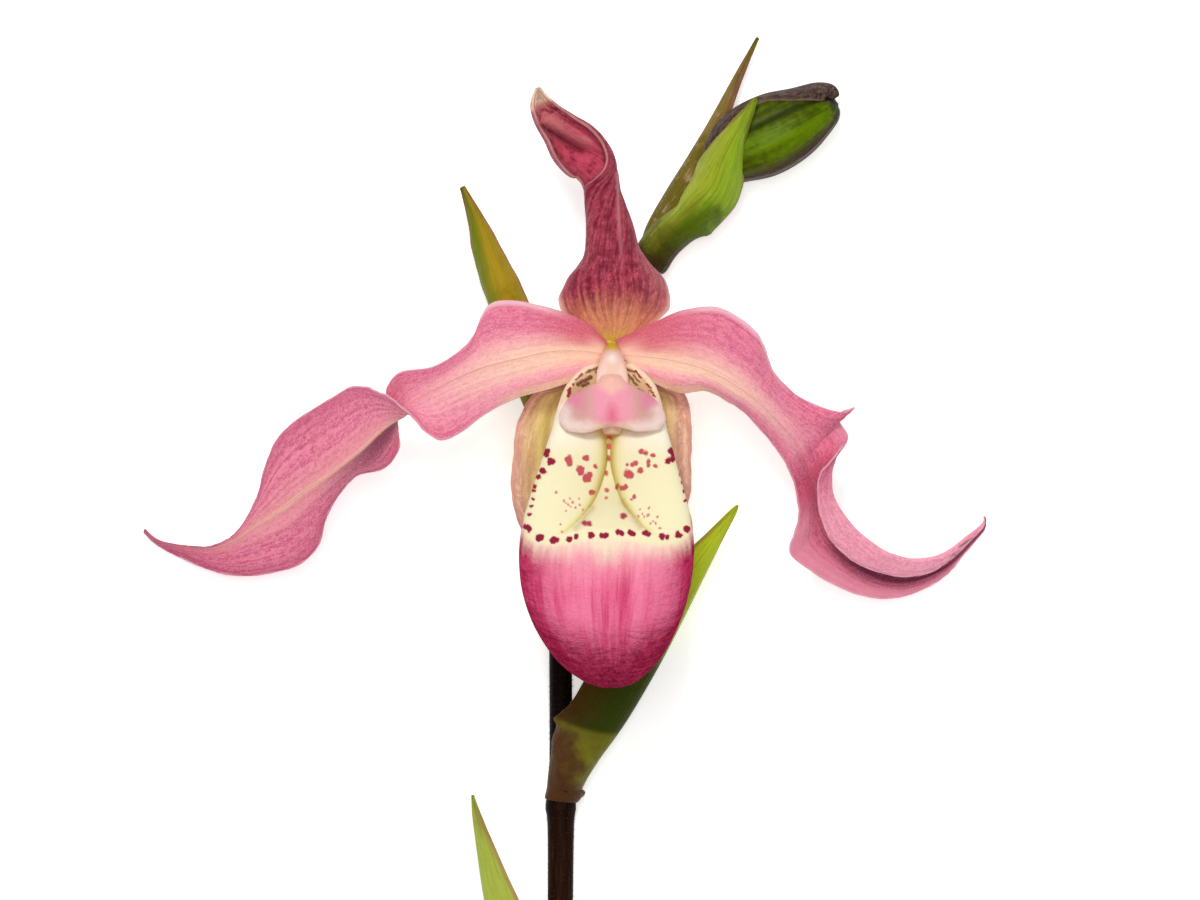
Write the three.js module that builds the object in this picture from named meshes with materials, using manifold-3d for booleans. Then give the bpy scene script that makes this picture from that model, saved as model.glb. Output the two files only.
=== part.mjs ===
// A cut flower spike of a slipper orchid (Phragmipedium), in millimetres.
//
// The spike lies on its back: the stem runs along Y, the open flower faces up (+Z), and the
// bud and the last bract are at the +Y end. The origin is the small flat spot under the
// sheath of the flower's bract, where the spike rests on the surface z = 0.
//
// Every blade (petal, sepal, bract) is a curved sheet of even thickness. A sheet is laid out
// either by a net of points (margins, midrib and what lies between) or by a rolled section
// that follows a line. The lip is a sheet too: it runs from the infolded lobes over the rim
// and down to the toe of the slipper. Neighbours are trimmed to a small clearance.

import * as THREE from "three";
import { mergeVertices } from "three/addons/utils/BufferGeometryUtils.js";
import Module from "manifold-3d";

const wasm = await Module();
wasm.setup();

// ---------------------------------------------------------------- driving dimensions

const CLEARANCE = 0.3; // between neighbouring pieces
const PETAL_THICKNESS = 0.9;
const SEPAL_THICKNESS = 0.9;
const BRACT_THICKNESS = 0.75;
const LIP_THICKNESS = 1.0;
const SHIELD_THICKNESS = 1.1;
const BUD_SEPAL_THICKNESS = 0.8;
const STEM_SIDES = 10;

// ---------------------------------------------------------------- colours

const FINISH = {
  stem: { color: 0x24100b, roughness: 0.55 },
  bract: { color: 0x8f9a33, roughness: 0.6 },
  ovary: { color: 0x5a2b1c, roughness: 0.6 },
  petal: { color: 0xe0829f, roughness: 0.55 },
  dorsal: { color: 0x9c3050, roughness: 0.6 },
  synsepal: { color: 0xcdb865, roughness: 0.6 },
  lip: { color: 0xd9648f, roughness: 0.45 },
  column: { color: 0xf0cdb8, roughness: 0.4 },
  staminode: { color: 0xeeb4c6, roughness: 0.5 },
  budGreen: { color: 0x5c8a14, roughness: 0.5 },
  budDark: { color: 0x3a2226, roughness: 0.5 },
};

// ---------------------------------------------------------------- curves through rows

function catmull(a, b, c, d, t) {
  const slope = c - a;
  const square = 2 * a - 5 * b + 4 * c - d;
  const cube = 3 * b - a - 3 * c + d;
  return 0.5 * (2 * b + t * (slope + t * (square + t * cube)));
}

// The row of numbers at a place counted in rows, on a smooth curve through all of them.
function between(rows, at, closed = false) {
  const count = rows.length;
  const first = closed ? Math.floor(at) : Math.min(Math.floor(at), count - 2);
  const pick = (k) => rows[closed ? (k + count) % count : THREE.MathUtils.clamp(k, 0, count - 1)];
  const [a, b, c, d] = [pick(first - 1), pick(first), pick(first + 1), pick(first + 2)];
  return b.map((_, k) => catmull(a[k], b[k], c[k], d[k], at - first));
}

function triples(numbers) {
  const points = [];
  for (let k = 0; k < numbers.length; k += 3) points.push(numbers.slice(k, k + 3));
  return points;
}

const vector = ([x, y, z]) => new THREE.Vector3(x, y, z);

// ---------------------------------------------------------------- grids of points

// A blade given by rows of points, each row running from one margin to the other.
function netGrid(rows, lengthSteps, widthSteps) {
  const flatRows = rows.map((row) => row.flat());
  const grid = [];
  for (let i = 0; i <= lengthSteps; i++) {
    const row = triples(between(flatRows, (i / lengthSteps) * (rows.length - 1)));
    const line = [];
    for (let j = 0; j <= widthSteps; j++) {
      line.push(vector(between(row, (j / widthSteps) * (row.length - 1))));
    }
    grid.push(line);
  }
  return grid;
}

// A blade that is rolled or folded about its midrib. Each station is
// [x, y, z, inset, halfWidth, turn, roll, sharpness]: the section stands square to the line
// through x, y, z. Its midrib lies at that point plus inset times the direction that roll
// turns to, counted in degrees from +Z towards the right of the line. Each half is halfWidth
// long and bends by turn degrees from midrib to margin, away from that direction. A
// sharpness above 1 gathers the bend at the midrib, as in a keel.
const ARC_STEPS = 12;

function rolledGrid(stations, lengthSteps, widthSteps) {
  const grid = [];
  const last = stations.length - 1;
  for (let i = 0; i <= lengthSteps; i++) {
    const at = (i / lengthSteps) * last;
    const [x, y, z, inset, halfWidth, turn, roll, sharpness] = between(stations, at);
    const ahead = vector(between(stations, Math.min(at + 0.2, last)));
    const behind = vector(between(stations, Math.max(at - 0.2, 0)));
    const along = ahead.sub(behind).normalize();
    const up = new THREE.Vector3(0, 0, 1).addScaledVector(along, -along.z).normalize();
    const right = along.clone().cross(up);
    const angle = THREE.MathUtils.degToRad(roll);
    const outward = up.clone().multiplyScalar(Math.cos(angle)).addScaledVector(right, Math.sin(angle));
    const sideways = along.clone().cross(outward);
    const midrib = new THREE.Vector3(x, y, z).addScaledVector(outward, inset);
    const bend = THREE.MathUtils.degToRad(turn);
    const line = [];
    for (let j = 0; j <= widthSteps; j++) {
      const part = (2 * j) / widthSteps - 1;
      const [across, depth] = arcPoint(Math.abs(part), halfWidth, bend, sharpness);
      line.push(
        midrib.clone().addScaledVector(sideways, Math.sign(part) * across).addScaledVector(outward, -depth),
      );
    }
    grid.push(line);
  }
  return grid;
}

// How far across and how deep a section has gone after a part of its half width.
function arcPoint(part, halfWidth, bend, sharpness) {
  let across = 0;
  let depth = 0;
  const step = part / ARC_STEPS;
  for (let k = 0; k < ARC_STEPS; k++) {
    const heading = bend * (1 - (1 - (k + 0.5) * step) ** sharpness);
    across += Math.cos(heading) * step * halfWidth;
    depth += Math.sin(heading) * step * halfWidth;
  }
  return [across, depth];
}

// ---------------------------------------------------------------- solids

function solidOf(points, triangles) {
  const build = (faces) =>
    new wasm.Manifold(
      new wasm.Mesh({
        numProp: 3,
        vertProperties: new Float32Array(points.flatMap((p) => [p.x, p.y, p.z])),
        triVerts: new Uint32Array(faces.flat()),
      }),
    );
  return signedVolume(points, triangles) > 0 ? build(triangles) : build(triangles.map(([a, b, c]) => [a, c, b]));
}

function signedVolume(points, triangles) {
  let sum = 0;
  for (const [a, b, c] of triangles) sum += points[a].dot(points[b].clone().cross(points[c]));
  return sum / 6;
}

// A sheet of even thickness about a grid. With closed, the rows run round and meet. With
// capped, the last row is drawn together in one point. grow makes the cutter that leaves
// that much clearance: it is thicker and reaches past the margins.
function sheet(grid, thickness, { closed = false, capped = false, grow = 0 } = {}) {
  const rows = grid.length;
  const columns = grid[0].length;
  const wrap = (j) => (closed ? (j + columns) % columns : THREE.MathUtils.clamp(j, 0, columns - 1));
  const row = (i) => THREE.MathUtils.clamp(i, 0, rows - 1);
  const half = thickness / 2 + grow;
  const points = [];
  const front = (i, j) => 2 * (i * columns + wrap(j));
  const back = (i, j) => front(i, j) + 1;
  for (let i = 0; i < rows; i++) {
    for (let j = 0; j < columns; j++) {
      const lengthwise = grid[row(i + 1)][j].clone().sub(grid[row(i - 1)][j]);
      const crosswise = grid[i][wrap(j + 1)].clone().sub(grid[i][wrap(j - 1)]);
      const normal = lengthwise.clone().cross(crosswise).normalize();
      const place = grid[i][j].clone();
      if (grow > 0) {
        if (i === 0) place.addScaledVector(lengthwise.normalize(), -grow);
        if (i === rows - 1 && !capped) place.addScaledVector(lengthwise.normalize(), grow);
        if (j === 0 && !closed) place.addScaledVector(crosswise.normalize(), -grow);
        if (j === columns - 1 && !closed) place.addScaledVector(crosswise.normalize(), grow);
      }
      points.push(place.clone().addScaledVector(normal, half), place.addScaledVector(normal, -half));
    }
  }
  const triangles = [];
  const quad = (a, b, c, d) => triangles.push([a, b, c], [a, c, d]);
  const lastColumn = closed ? columns : columns - 1;
  for (let i = 0; i < rows - 1; i++) {
    for (let j = 0; j < lastColumn; j++) {
      quad(front(i, j), front(i + 1, j), front(i + 1, j + 1), front(i, j + 1));
      triangles.push([back(i, j), back(i + 1, j + 1), back(i + 1, j)]);
      triangles.push([back(i, j), back(i, j + 1), back(i + 1, j + 1)]);
    }
    if (!closed) {
      quad(front(i, 0), back(i, 0), back(i + 1, 0), front(i + 1, 0));
      quad(back(i, columns - 1), front(i, columns - 1), front(i + 1, columns - 1), back(i + 1, columns - 1));
    }
  }
  for (let j = 0; j < lastColumn; j++) {
    quad(front(0, j), front(0, j + 1), back(0, j + 1), back(0, j));
    if (!capped) quad(front(rows - 1, j + 1), front(rows - 1, j), back(rows - 1, j), back(rows - 1, j + 1));
  }
  if (capped) closeEnd(points, triangles, grid[rows - 1], half, (j) => front(rows - 1, j), (j) => back(rows - 1, j));
  return solidOf(points, triangles);
}

// Draws the last row of a closed sheet together in one point on each face.
function closeEnd(points, triangles, lastRow, half, front, back) {
  const centre = lastRow.reduce((sum, p) => sum.add(p), new THREE.Vector3()).divideScalar(lastRow.length);
  const normal = new THREE.Vector3();
  lastRow.forEach((p, j) => {
    const next = lastRow[(j + 1) % lastRow.length];
    normal.add(p.clone().sub(centre).cross(next.clone().sub(centre)));
  });
  normal.normalize();
  if (normal.dot(points[front(0)].clone().sub(points[back(0)])) < 0) normal.negate();
  const tip = points.length;
  points.push(centre.clone().addScaledVector(normal, half), centre.addScaledVector(normal, -half));
  for (let j = 0; j < lastRow.length; j++) {
    triangles.push([front(j), tip, front(j + 1)], [back(j), back(j + 1), tip + 1]);
  }
}

// A solid of round section along a line, from stations [x, y, z, halfAcross, halfDeep].
// The section is carried along without twisting, from sideways at the first station.
function sweep(stations, steps, sides, { sideways = [1, 0, 0], grow = 0 } = {}) {
  const last = stations.length - 1;
  const points = [];
  const across = vector(sideways);
  for (let i = 0; i <= steps; i++) {
    const at = (i / steps) * last;
    const [x, y, z, halfAcross, halfDeep] = between(stations, at);
    const ahead = vector(between(stations, Math.min(at + 0.1, last)));
    const along = ahead.sub(vector(between(stations, Math.max(at - 0.1, 0)))).normalize();
    across.addScaledVector(along, -across.dot(along)).normalize();
    const deep = across.clone().cross(along);
    const end = i === 0 ? -grow : i === steps ? grow : 0;
    const centre = new THREE.Vector3(x, y, z).addScaledVector(along, end);
    for (let j = 0; j < sides; j++) {
      const angle = (2 * Math.PI * j) / sides;
      points.push(
        centre
          .clone()
          .addScaledVector(across, (halfAcross + grow) * Math.cos(angle))
          .addScaledVector(deep, (halfDeep + grow) * Math.sin(angle)),
      );
    }
  }
  const triangles = [];
  for (let i = 0; i < steps; i++) {
    for (let j = 0; j < sides; j++) {
      const [a, b] = [i * sides + j, i * sides + ((j + 1) % sides)];
      triangles.push([a, b, b + sides], [a, b + sides, a + sides]);
    }
  }
  for (let j = 1; j < sides - 1; j++) {
    triangles.push([0, j + 1, j], [steps * sides, steps * sides + j, steps * sides + j + 1]);
  }
  return solidOf(points, triangles);
}

function biggestBody(solid) {
  const bodies = solid.decompose();
  return bodies.reduce((best, body) => (body.volume() > best.volume() ? body : best));
}

const trimmed = (solid, ...cutters) => biggestBody(cutters.reduce((rest, cutter) => rest.subtract(cutter), solid));

// What lies below the surface that the spike rests on.
function belowSurface() {
  const box = new THREE.BoxGeometry(300, 400, 10).translate(0, 0, -5);
  box.deleteAttribute("normal");
  box.deleteAttribute("uv");
  const merged = mergeVertices(box);
  const points = triples([...merged.attributes.position.array]).map(vector);
  return solidOf(points, triples([...merged.index.array]));
}

// A piece keeps the recipe that made it, so that its clearance cutter comes from the same sizes.
const pieceOf = (recipe) => ({ solid: recipe(0), cutter: recipe(CLEARANCE) });

// ---------------------------------------------------------------- stem

// [x, y, z, radius] from the cut end, over the three nodes, to the end inside the last bract.
const STEM_LINE = [
  [0.0, -129.0, 2.1, 2.05],
  [-0.2, -112.0, 2.6, 2.0],
  [-0.3, -95.0, 3.1, 2.0],
  [-0.3, -91.2, 3.1, 2.25],
  [-0.2, -87.0, 3.1, 1.85],
  [0.0, -68.0, 3.1, 1.9],
  [0.1, -54.0, 3.1, 2.0],
  [0.1, -50.6, 3.1, 2.3],
  [0.1, -46.0, 3.1, 1.75],
  [0.1, -31.0, 3.0, 1.72],
  [-0.1, -14.0, 2.8, 1.72],
  [-0.3, -3.0, 2.7, 1.9],
  [0.8, 3.0, 2.7, 1.6],
  [6.0, 14.6, 2.8, 1.45],
  [12.4, 29.0, 3.0, 1.5],
  [14.6, 33.5, 3.2, 1.15],
  [18.0, 41.0, 3.4, 1.0],
  [21.2, 47.6, 3.6, 0.8],
];

function stemPiece(grow) {
  const stations = STEM_LINE.map(([x, y, z, radius]) => [x, y, z, radius, radius]);
  return sweep(stations, 34, STEM_SIDES, { grow });
}

// ---------------------------------------------------------------- bracts

// Stations as in rolledGrid: a sheath round the stem that opens into a keeled blade.
const LOWER_BRACT = [
  [-0.3, -91.0, 3.1, 2.5, 6.9, 158, -90, 1.0],
  [-0.7, -88.3, 3.3, 3.0, 7.8, 150, -90, 1.05],
  [-5.2, -84.4, 3.8, 0, 9.0, 108, -88, 1.9],
  [-7.8, -78.0, 4.3, 0, 9.0, 96, -84, 2.4],
  [-9.9, -70.5, 5.0, 0, 7.0, 84, -80, 2.6],
  [-11.2, -64.0, 5.7, 0, 5.0, 76, -76, 2.6],
  [-12.2, -57.0, 6.5, 0, 2.7, 70, -72, 2.4],
  [-13.0, -50.9, 7.2, 0, 0.8, 60, -70, 1.8],
  [-13.2, -49.0, 7.4, 0, 0.3, 50, -70, 1.5],
];

const STEM_BRACT = [
  [0.1, -49.6, 3.1, 2.5, 6.9, 158, 90, 1.0],
  [0.6, -47.2, 3.5, 3.05, 7.8, 150, 90, 1.05],
  [2.6, -45.8, 4.4, 1.5, 10.2, 130, 90, 1.4],
  [5.6, -43.6, 4.8, 0, 11.0, 112, 90, 1.8],
  [8.5, -39.6, 4.9, 0, 9.8, 100, 88, 2.3],
  [11.2, -35.4, 5.2, 0, 9.8, 92, 86, 2.6],
  [14.6, -29.4, 5.7, 0, 9.2, 82, 82, 2.6],
  [18.1, -22.6, 6.4, 0, 7.4, 76, 78, 2.6],
  [21.3, -16.0, 7.6, 0, 5.1, 72, 74, 2.4],
  [24.1, -10.4, 8.5, 0, 2.6, 66, 72, 2.2],
  [26.2, -6.4, 9.2, 0, 0.9, 58, 70, 1.6],
  [26.7, -5.4, 9.4, 0, 0.3, 50, 70, 1.4],
];

const FLOWER_BRACT = [
  [-0.4, -1.6, 2.7, 2.45, 6.8, 158, -75, 1.0],
  [-0.2, 1.0, 2.8, 2.6, 7.2, 150, -72, 1.1],
  [-3.6, 6.4, 4.8, 0, 7.2, 116, -60, 1.8],
  [-5.8, 12.6, 6.5, 0, 6.8, 96, -46, 2.4],
  [-7.7, 19.5, 8.0, 0, 6.0, 82, -32, 2.6],
  [-9.4, 25.9, 9.2, 0, 4.8, 70, -22, 2.6],
  [-10.8, 31.2, 10.0, 0, 3.4, 60, -12, 2.4],
  [-12.4, 36.8, 10.6, 0, 1.7, 50, -4, 2.2],
  [-14.2, 41.4, 11.0, 0, 0.6, 40, 0, 1.6],
  [-14.7, 42.5, 11.1, 0, 0.4, 30, 0, 1.4],
];

const TIP_BRACT = [
  [12.6, 29.6, 3.0, 2.1, 5.6, 150, -90, 1.0],
  [13.7, 31.8, 3.1, 2.1, 5.8, 142, -90, 1.1],
  [13.4, 37.0, 3.2, 0, 5.6, 112, -88, 1.8],
  [16.2, 41.9, 3.4, 0, 5.2, 92, -84, 2.3],
  [19.4, 46.9, 3.6, 0, 4.4, 80, -78, 2.4],
  [22.3, 51.6, 3.8, 0, 3.0, 72, -72, 2.4],
  [25.0, 56.4, 4.0, 0, 1.7, 64, -68, 2.2],
  [27.6, 61.2, 4.2, 0, 0.8, 56, -64, 1.8],
  [29.7, 65.1, 4.4, 0, 0.3, 46, -60, 1.4],
];

const BUD_BRACT = [
  [13.2, 31.0, 3.2, 2.7, 6.0, 128, 8, 1.1],
  [14.8, 33.4, 3.8, 3.3, 6.4, 120, -4, 1.3],
  [17.4, 36.9, 9.0, 0, 6.4, 93, -24, 1.9],
  [20.1, 39.7, 10.4, 0, 6.5, 78, -13, 2.2],
  [22.7, 42.5, 11.6, 0, 6.1, 66, -6, 2.4],
  [24.3, 46.0, 12.8, 0, 4.3, 58, -4, 2.4],
  [26.2, 50.2, 13.7, 0, 2.3, 50, 0, 2.2],
  [28.5, 54.2, 14.0, 0, 0.8, 40, 0, 1.8],
  [29.4, 55.8, 14.1, 0, 0.25, 30, 0, 1.4],
];

const BRACT_LENGTH_STEPS = 14;
const BRACT_WIDTH_STEPS = 8;

function bractPiece(stations) {
  return pieceOf((grow) =>
    sheet(rolledGrid(stations, BRACT_LENGTH_STEPS, BRACT_WIDTH_STEPS), BRACT_THICKNESS, { grow }),
  );
}

// ---------------------------------------------------------------- ovary and column

// The stalk and ovary rise from the stem inside the bract, pass behind the flower and turn
// to face up. They end in the receptacle that carries every part of the flower.
const FLOWER_AXIS_X = 7.8;
const OVARY_LINE = [
  [1.6, 1.2, 5.3, 1.0],
  [2.6, 5.0, 6.8, 1.35],
  [3.6, 9.5, 8.2, 1.6],
  [4.8, 14.5, 9.8, 1.85],
  [6.0, 19.4, 12.0, 2.0],
  [7.2, 22.0, 15.4, 2.05],
  [FLOWER_AXIS_X, 21.2, 19.6, 2.2],
  [FLOWER_AXIS_X, 19.0, 22.6, 2.7],
  [FLOWER_AXIS_X, 18.0, 24.6, 2.9],
];

function ovaryPiece(grow) {
  const stations = OVARY_LINE.map(([x, y, z, radius]) => [x, y, z, radius, radius]);
  return sweep(stations, 20, 10, { grow });
}

// [x, y, z, half across, half deep]: out of the receptacle, then forward over the lip.
const COLUMN_LINE = [
  [FLOWER_AXIS_X, 17.6, 25.0, 1.3, 1.6],
  [FLOWER_AXIS_X, 17.2, 27.6, 1.4, 1.6],
  [FLOWER_AXIS_X, 15.8, 30.6, 1.7, 1.7],
  [FLOWER_AXIS_X, 13.2, 32.8, 2.2, 1.6],
  [FLOWER_AXIS_X, 10.2, 34.0, 2.3, 1.4],
  [FLOWER_AXIS_X, 7.4, 34.7, 1.9, 1.2],
  [FLOWER_AXIS_X, 5.5, 35.2, 1.3, 0.7],
];

function columnPiece(grow) {
  return sweep(COLUMN_LINE, 14, 12, { grow });
}

// The shield on the column's end: rows from the column down to the two lobes, left to right.
const SHIELD_NET = [
  [[6.0, 14.0, 35.3], [6.8, 14.1, 35.9], [7.7, 14.2, 36.2], [8.6, 14.1, 35.9], [9.4, 14.0, 35.3]],
  [[5.6, 12.8, 35.4], [6.6, 13.0, 36.6], [7.7, 13.1, 37.1], [8.8, 13.0, 36.6], [9.9, 12.8, 35.4]],
  [[2.2, 11.2, 36.0], [5.0, 11.2, 37.3], [7.7, 11.3, 37.9], [10.6, 11.1, 37.3], [13.6, 10.9, 36.0]],
  [[0.5, 9.4, 36.2], [4.2, 9.3, 38.1], [7.8, 9.6, 38.4], [11.6, 9.3, 38.1], [15.1, 9.3, 36.2]],
  [[0.0, 7.6, 36.4], [3.9, 7.4, 38.6], [7.8, 8.0, 38.2], [11.8, 7.4, 38.6], [15.7, 7.6, 36.4]],
  [[1.0, 6.0, 36.8], [3.9, 5.7, 38.2], [7.7, 6.7, 37.4], [11.6, 5.9, 38.2], [14.8, 6.1, 36.8]],
];

const shieldPiece = (grow) => sheet(netGrid(SHIELD_NET, 9, 12), SHIELD_THICKNESS, { grow });

// ---------------------------------------------------------------- lip

// The lip's middle line leans a little from side to side as it goes down.
const LIP_AXIS = [
  [7.8, 18.0],
  [7.4, 6.0],
  [7.05, -9.0],
  [6.85, -18.0],
  [6.95, -26.0],
  [7.7, -32.6],
];

function lipAxisAt(y) {
  const k = LIP_AXIS.findIndex(([, low]) => low <= y);
  if (k <= 0) return LIP_AXIS[k === 0 ? 0 : LIP_AXIS.length - 1][0];
  const [[x0, y0], [x1, y1]] = [LIP_AXIS[k - 1], LIP_AXIS[k]];
  return x0 + ((x1 - x0) * (y - y0)) / (y1 - y0);
}

const TOE = [0, -32.2, 31];

// Ribs from the middle of the back, round one side, to the middle of the front, as
// [across, y, z]. inner is the lobe's free edge, lobe the top of the lobe near that edge,
// fold the lobe halfway, crest the rim. swell leads away from the crest and sweep leads
// into the toe, as the handles of a curve from the one to the other.
const LIP_RIBS = [
  { inner: [0, 13.4, 25.6], lobe: [0, 13.8, 26.0], fold: [0, 14.2, 26.3], crest: [0, 14.7, 26.4],
    swell: [0, -12, -7], sweep: [0, -12] },
  { inner: [1.5, 13.3, 25.2], lobe: [2.0, 14.0, 26.1], fold: [2.5, 14.7, 27.0], crest: [2.9, 15.3, 27.5],
    swell: [2.0, -12, -8], sweep: [3.2, -11.5] },
  { inner: [4.8, 10.2, 27.6], lobe: [5.4, 10.8, 29.0], fold: [6.0, 11.4, 30.2], crest: [6.5, 11.9, 30.7],
    swell: [2.9, -13, -10], sweep: [5.6, -9.5] },
  { inner: [1.3, 6.3, 31.4], lobe: [2.4, 6.2, 33.2], fold: [5.3, 6.0, 34.6], crest: [8.1, 5.7, 34.3],
    swell: [3.5, -10, -11], sweep: [7.2, -6] },
  { inner: [0.45, 1.6, 33.4], lobe: [1.9, 1.5, 36.0], fold: [6.3, 0.2, 38.9], crest: [10.1, -1.2, 39.2],
    swell: [3.7, -9, -9], sweep: [8.2, -3] },
  { inner: [1.7, -3.2, 36.9], lobe: [3.2, -3.9, 39.5], fold: [7.7, -5.2, 42.4], crest: [11.5, -6.8, 42.7],
    swell: [3.7, -8, -6.5], sweep: [8.5, 1.5] },
  { inner: [3.5, -6.6, 40.0], lobe: [5.0, -7.2, 42.2], fold: [8.4, -8.4, 44.2], crest: [11.0, -9.7, 44.2],
    swell: [3.2, -8, -2.5], sweep: [7.7, 6] },
  { inner: [5.4, -8.6, 42.6], lobe: [5.9, -9.2, 43.7], fold: [6.8, -9.8, 44.6], crest: [7.6, -10.5, 45.0],
    swell: [1.5, -8, 0.8], sweep: [5.0, 9.5] },
  { inner: [1.5, 0.4, 32.6], lobe: [2.6, -4.8, 37.6], fold: [3.2, -8.4, 43.6], crest: [3.4, -9.9, 45.0],
    swell: [0.6, -8, 2], sweep: [2.3, 11.5] },
  { inner: [0, 5.0, 30.6], lobe: [0, -2.4, 35.6], fold: [0, -8.2, 43.4], crest: [0, -9.6, 45.0],
    swell: [0, -8, 2.4], sweep: [0, 12] },
];

const BODY_STEPS = [0.14, 0.32, 0.5, 0.68, 0.84, 0.95];
const LIP_ROUND_STEPS = 30;
const LIP_RIB_STEPS = 17;

// One rib's points, in order from the lobe's edge over the crest to just short of the toe.
function ribPoints({ inner, lobe, fold, crest, swell, sweep: toToe }, side) {
  const handle = crest.map((value, k) => value + swell[k]);
  const landing = [TOE[0] + toToe[0], TOE[1], TOE[2] + toToe[1]];
  const body = BODY_STEPS.map((t) => {
    const weights = [(1 - t) ** 3, 3 * t * (1 - t) ** 2, 3 * t * t * (1 - t), t ** 3];
    const points = [crest, handle, landing, TOE];
    return [0, 1, 2].map((k) => points.reduce((sum, point, n) => sum + weights[n] * point[k], 0));
  });
  return [inner, lobe, fold, crest, ...body].map(([across, y, z]) => [lipAxisAt(y) + side * across, y, z]);
}

function lipGrid(roundSteps, ribSteps) {
  const left = LIP_RIBS.map((rib) => ribPoints(rib, -1).flat());
  const right = LIP_RIBS.slice(1, -1).reverse().map((rib) => ribPoints(rib, 1).flat());
  const ribs = [...left, ...right];
  const columns = [];
  for (let j = 0; j < roundSteps; j++) {
    columns.push(triples(between(ribs, (j / roundSteps) * ribs.length, true)));
  }
  const grid = [];
  for (let i = 0; i <= ribSteps; i++) {
    grid.push(columns.map((rib) => vector(between(rib, (i / ribSteps) * (rib.length - 1)))));
  }
  return grid;
}

const lipPiece = (grow) =>
  sheet(lipGrid(LIP_ROUND_STEPS, LIP_RIB_STEPS), LIP_THICKNESS, { closed: true, capped: true, grow });

// ---------------------------------------------------------------- petals and sepals

// Rows from the lower margin over the midrib to the upper margin. Past the twist the lower
// margin lies on top and the blade shows its back.
const LEFT_PETAL_NET = [
  [[6.0, 15.4, 26.4], [6.6, 17.4, 26.6], [7.0, 19.2, 26.4]],
  [[3.0, 13.8, 28.6], [3.3, 17.8, 28.2], [3.8, 22.1, 28.2]],
  [[-1.5, 12.2, 29.8], [-1.5, 17.7, 29.8], [-1.2, 24.1, 29.4]],
  [[-6.8, 10.7, 30.2], [-6.9, 16.5, 30.6], [-7.2, 25.3, 29.6]],
  [[-11.2, 8.4, 30.0], [-11.4, 15.3, 30.4], [-10.9, 24.4, 29.6]],
  [[-14.7, 5.8, 29.6], [-15.3, 13.7, 29.2], [-13.5, 19.3, 29.8]],
  [[-17.8, 4.5, 29.4], [-18.6, 12.0, 28.0], [-18.6, 15.6, 28.2]],
  [[-20.4, 6.1, 29.6], [-21.0, 10.5, 26.8], [-23.7, 14.7, 25.6]],
  [[-22.3, 8.1, 29.6], [-22.5, 9.4, 26.2], [-25.6, 13.0, 22.8]],
  [[-24.1, 9.9, 29.2], [-23.4, 8.5, 25.6], [-25.8, 11.1, 21.4]],
  [[-25.8, 11.0, 27.6], [-24.6, 7.8, 24.8], [-24.9, 8.4, 20.8]],
  [[-27.4, 11.8, 25.2], [-25.8, 6.9, 23.8], [-24.3, 5.8, 20.6]],
  [[-29.1, 12.4, 23.0], [-27.4, 5.4, 22.6], [-24.3, 3.1, 20.4]],
  [[-31.5, 12.4, 20.6], [-29.5, 3.3, 21.0], [-26.2, 0.4, 19.6]],
  [[-34.4, 10.7, 18.2], [-32.2, 1.1, 19.2], [-30.4, -0.8, 17.8]],
  [[-37.6, 8.8, 15.6], [-35.1, -1.1, 17.0], [-33.0, -3.4, 15.4]],
  [[-41.4, 6.0, 12.8], [-38.2, -3.1, 14.4], [-35.2, -7.3, 12.6]],
  [[-43.8, 2.2, 10.8], [-40.9, -5.2, 12.0], [-36.3, -11.2, 10.4]],
  [[-45.3, -3.0, 9.2], [-43.5, -6.9, 10.2], [-39.3, -14.2, 8.6]],
  [[-46.9, -6.8, 7.6], [-46.2, -8.7, 8.2], [-44.2, -15.6, 6.8]],
  [[-49.6, -10.2, 5.8], [-49.2, -10.7, 6.0], [-48.9, -15.9, 5.2]],
  [[-53.2, -11.8, 3.8], [-52.9, -11.9, 3.9], [-53.2, -14.9, 3.6]],
  [[-57.8, -11.4, 2.0], [-57.6, -11.5, 2.1], [-57.8, -12.9, 2.0]],
  [[-60.8, -10.5, 0.9], [-60.8, -10.7, 1.0], [-60.9, -11.2, 1.0]],
  [[-62.6, -8.9, 0.6], [-62.7, -9.2, 0.6], [-62.8, -9.4, 0.6]],
];

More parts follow.
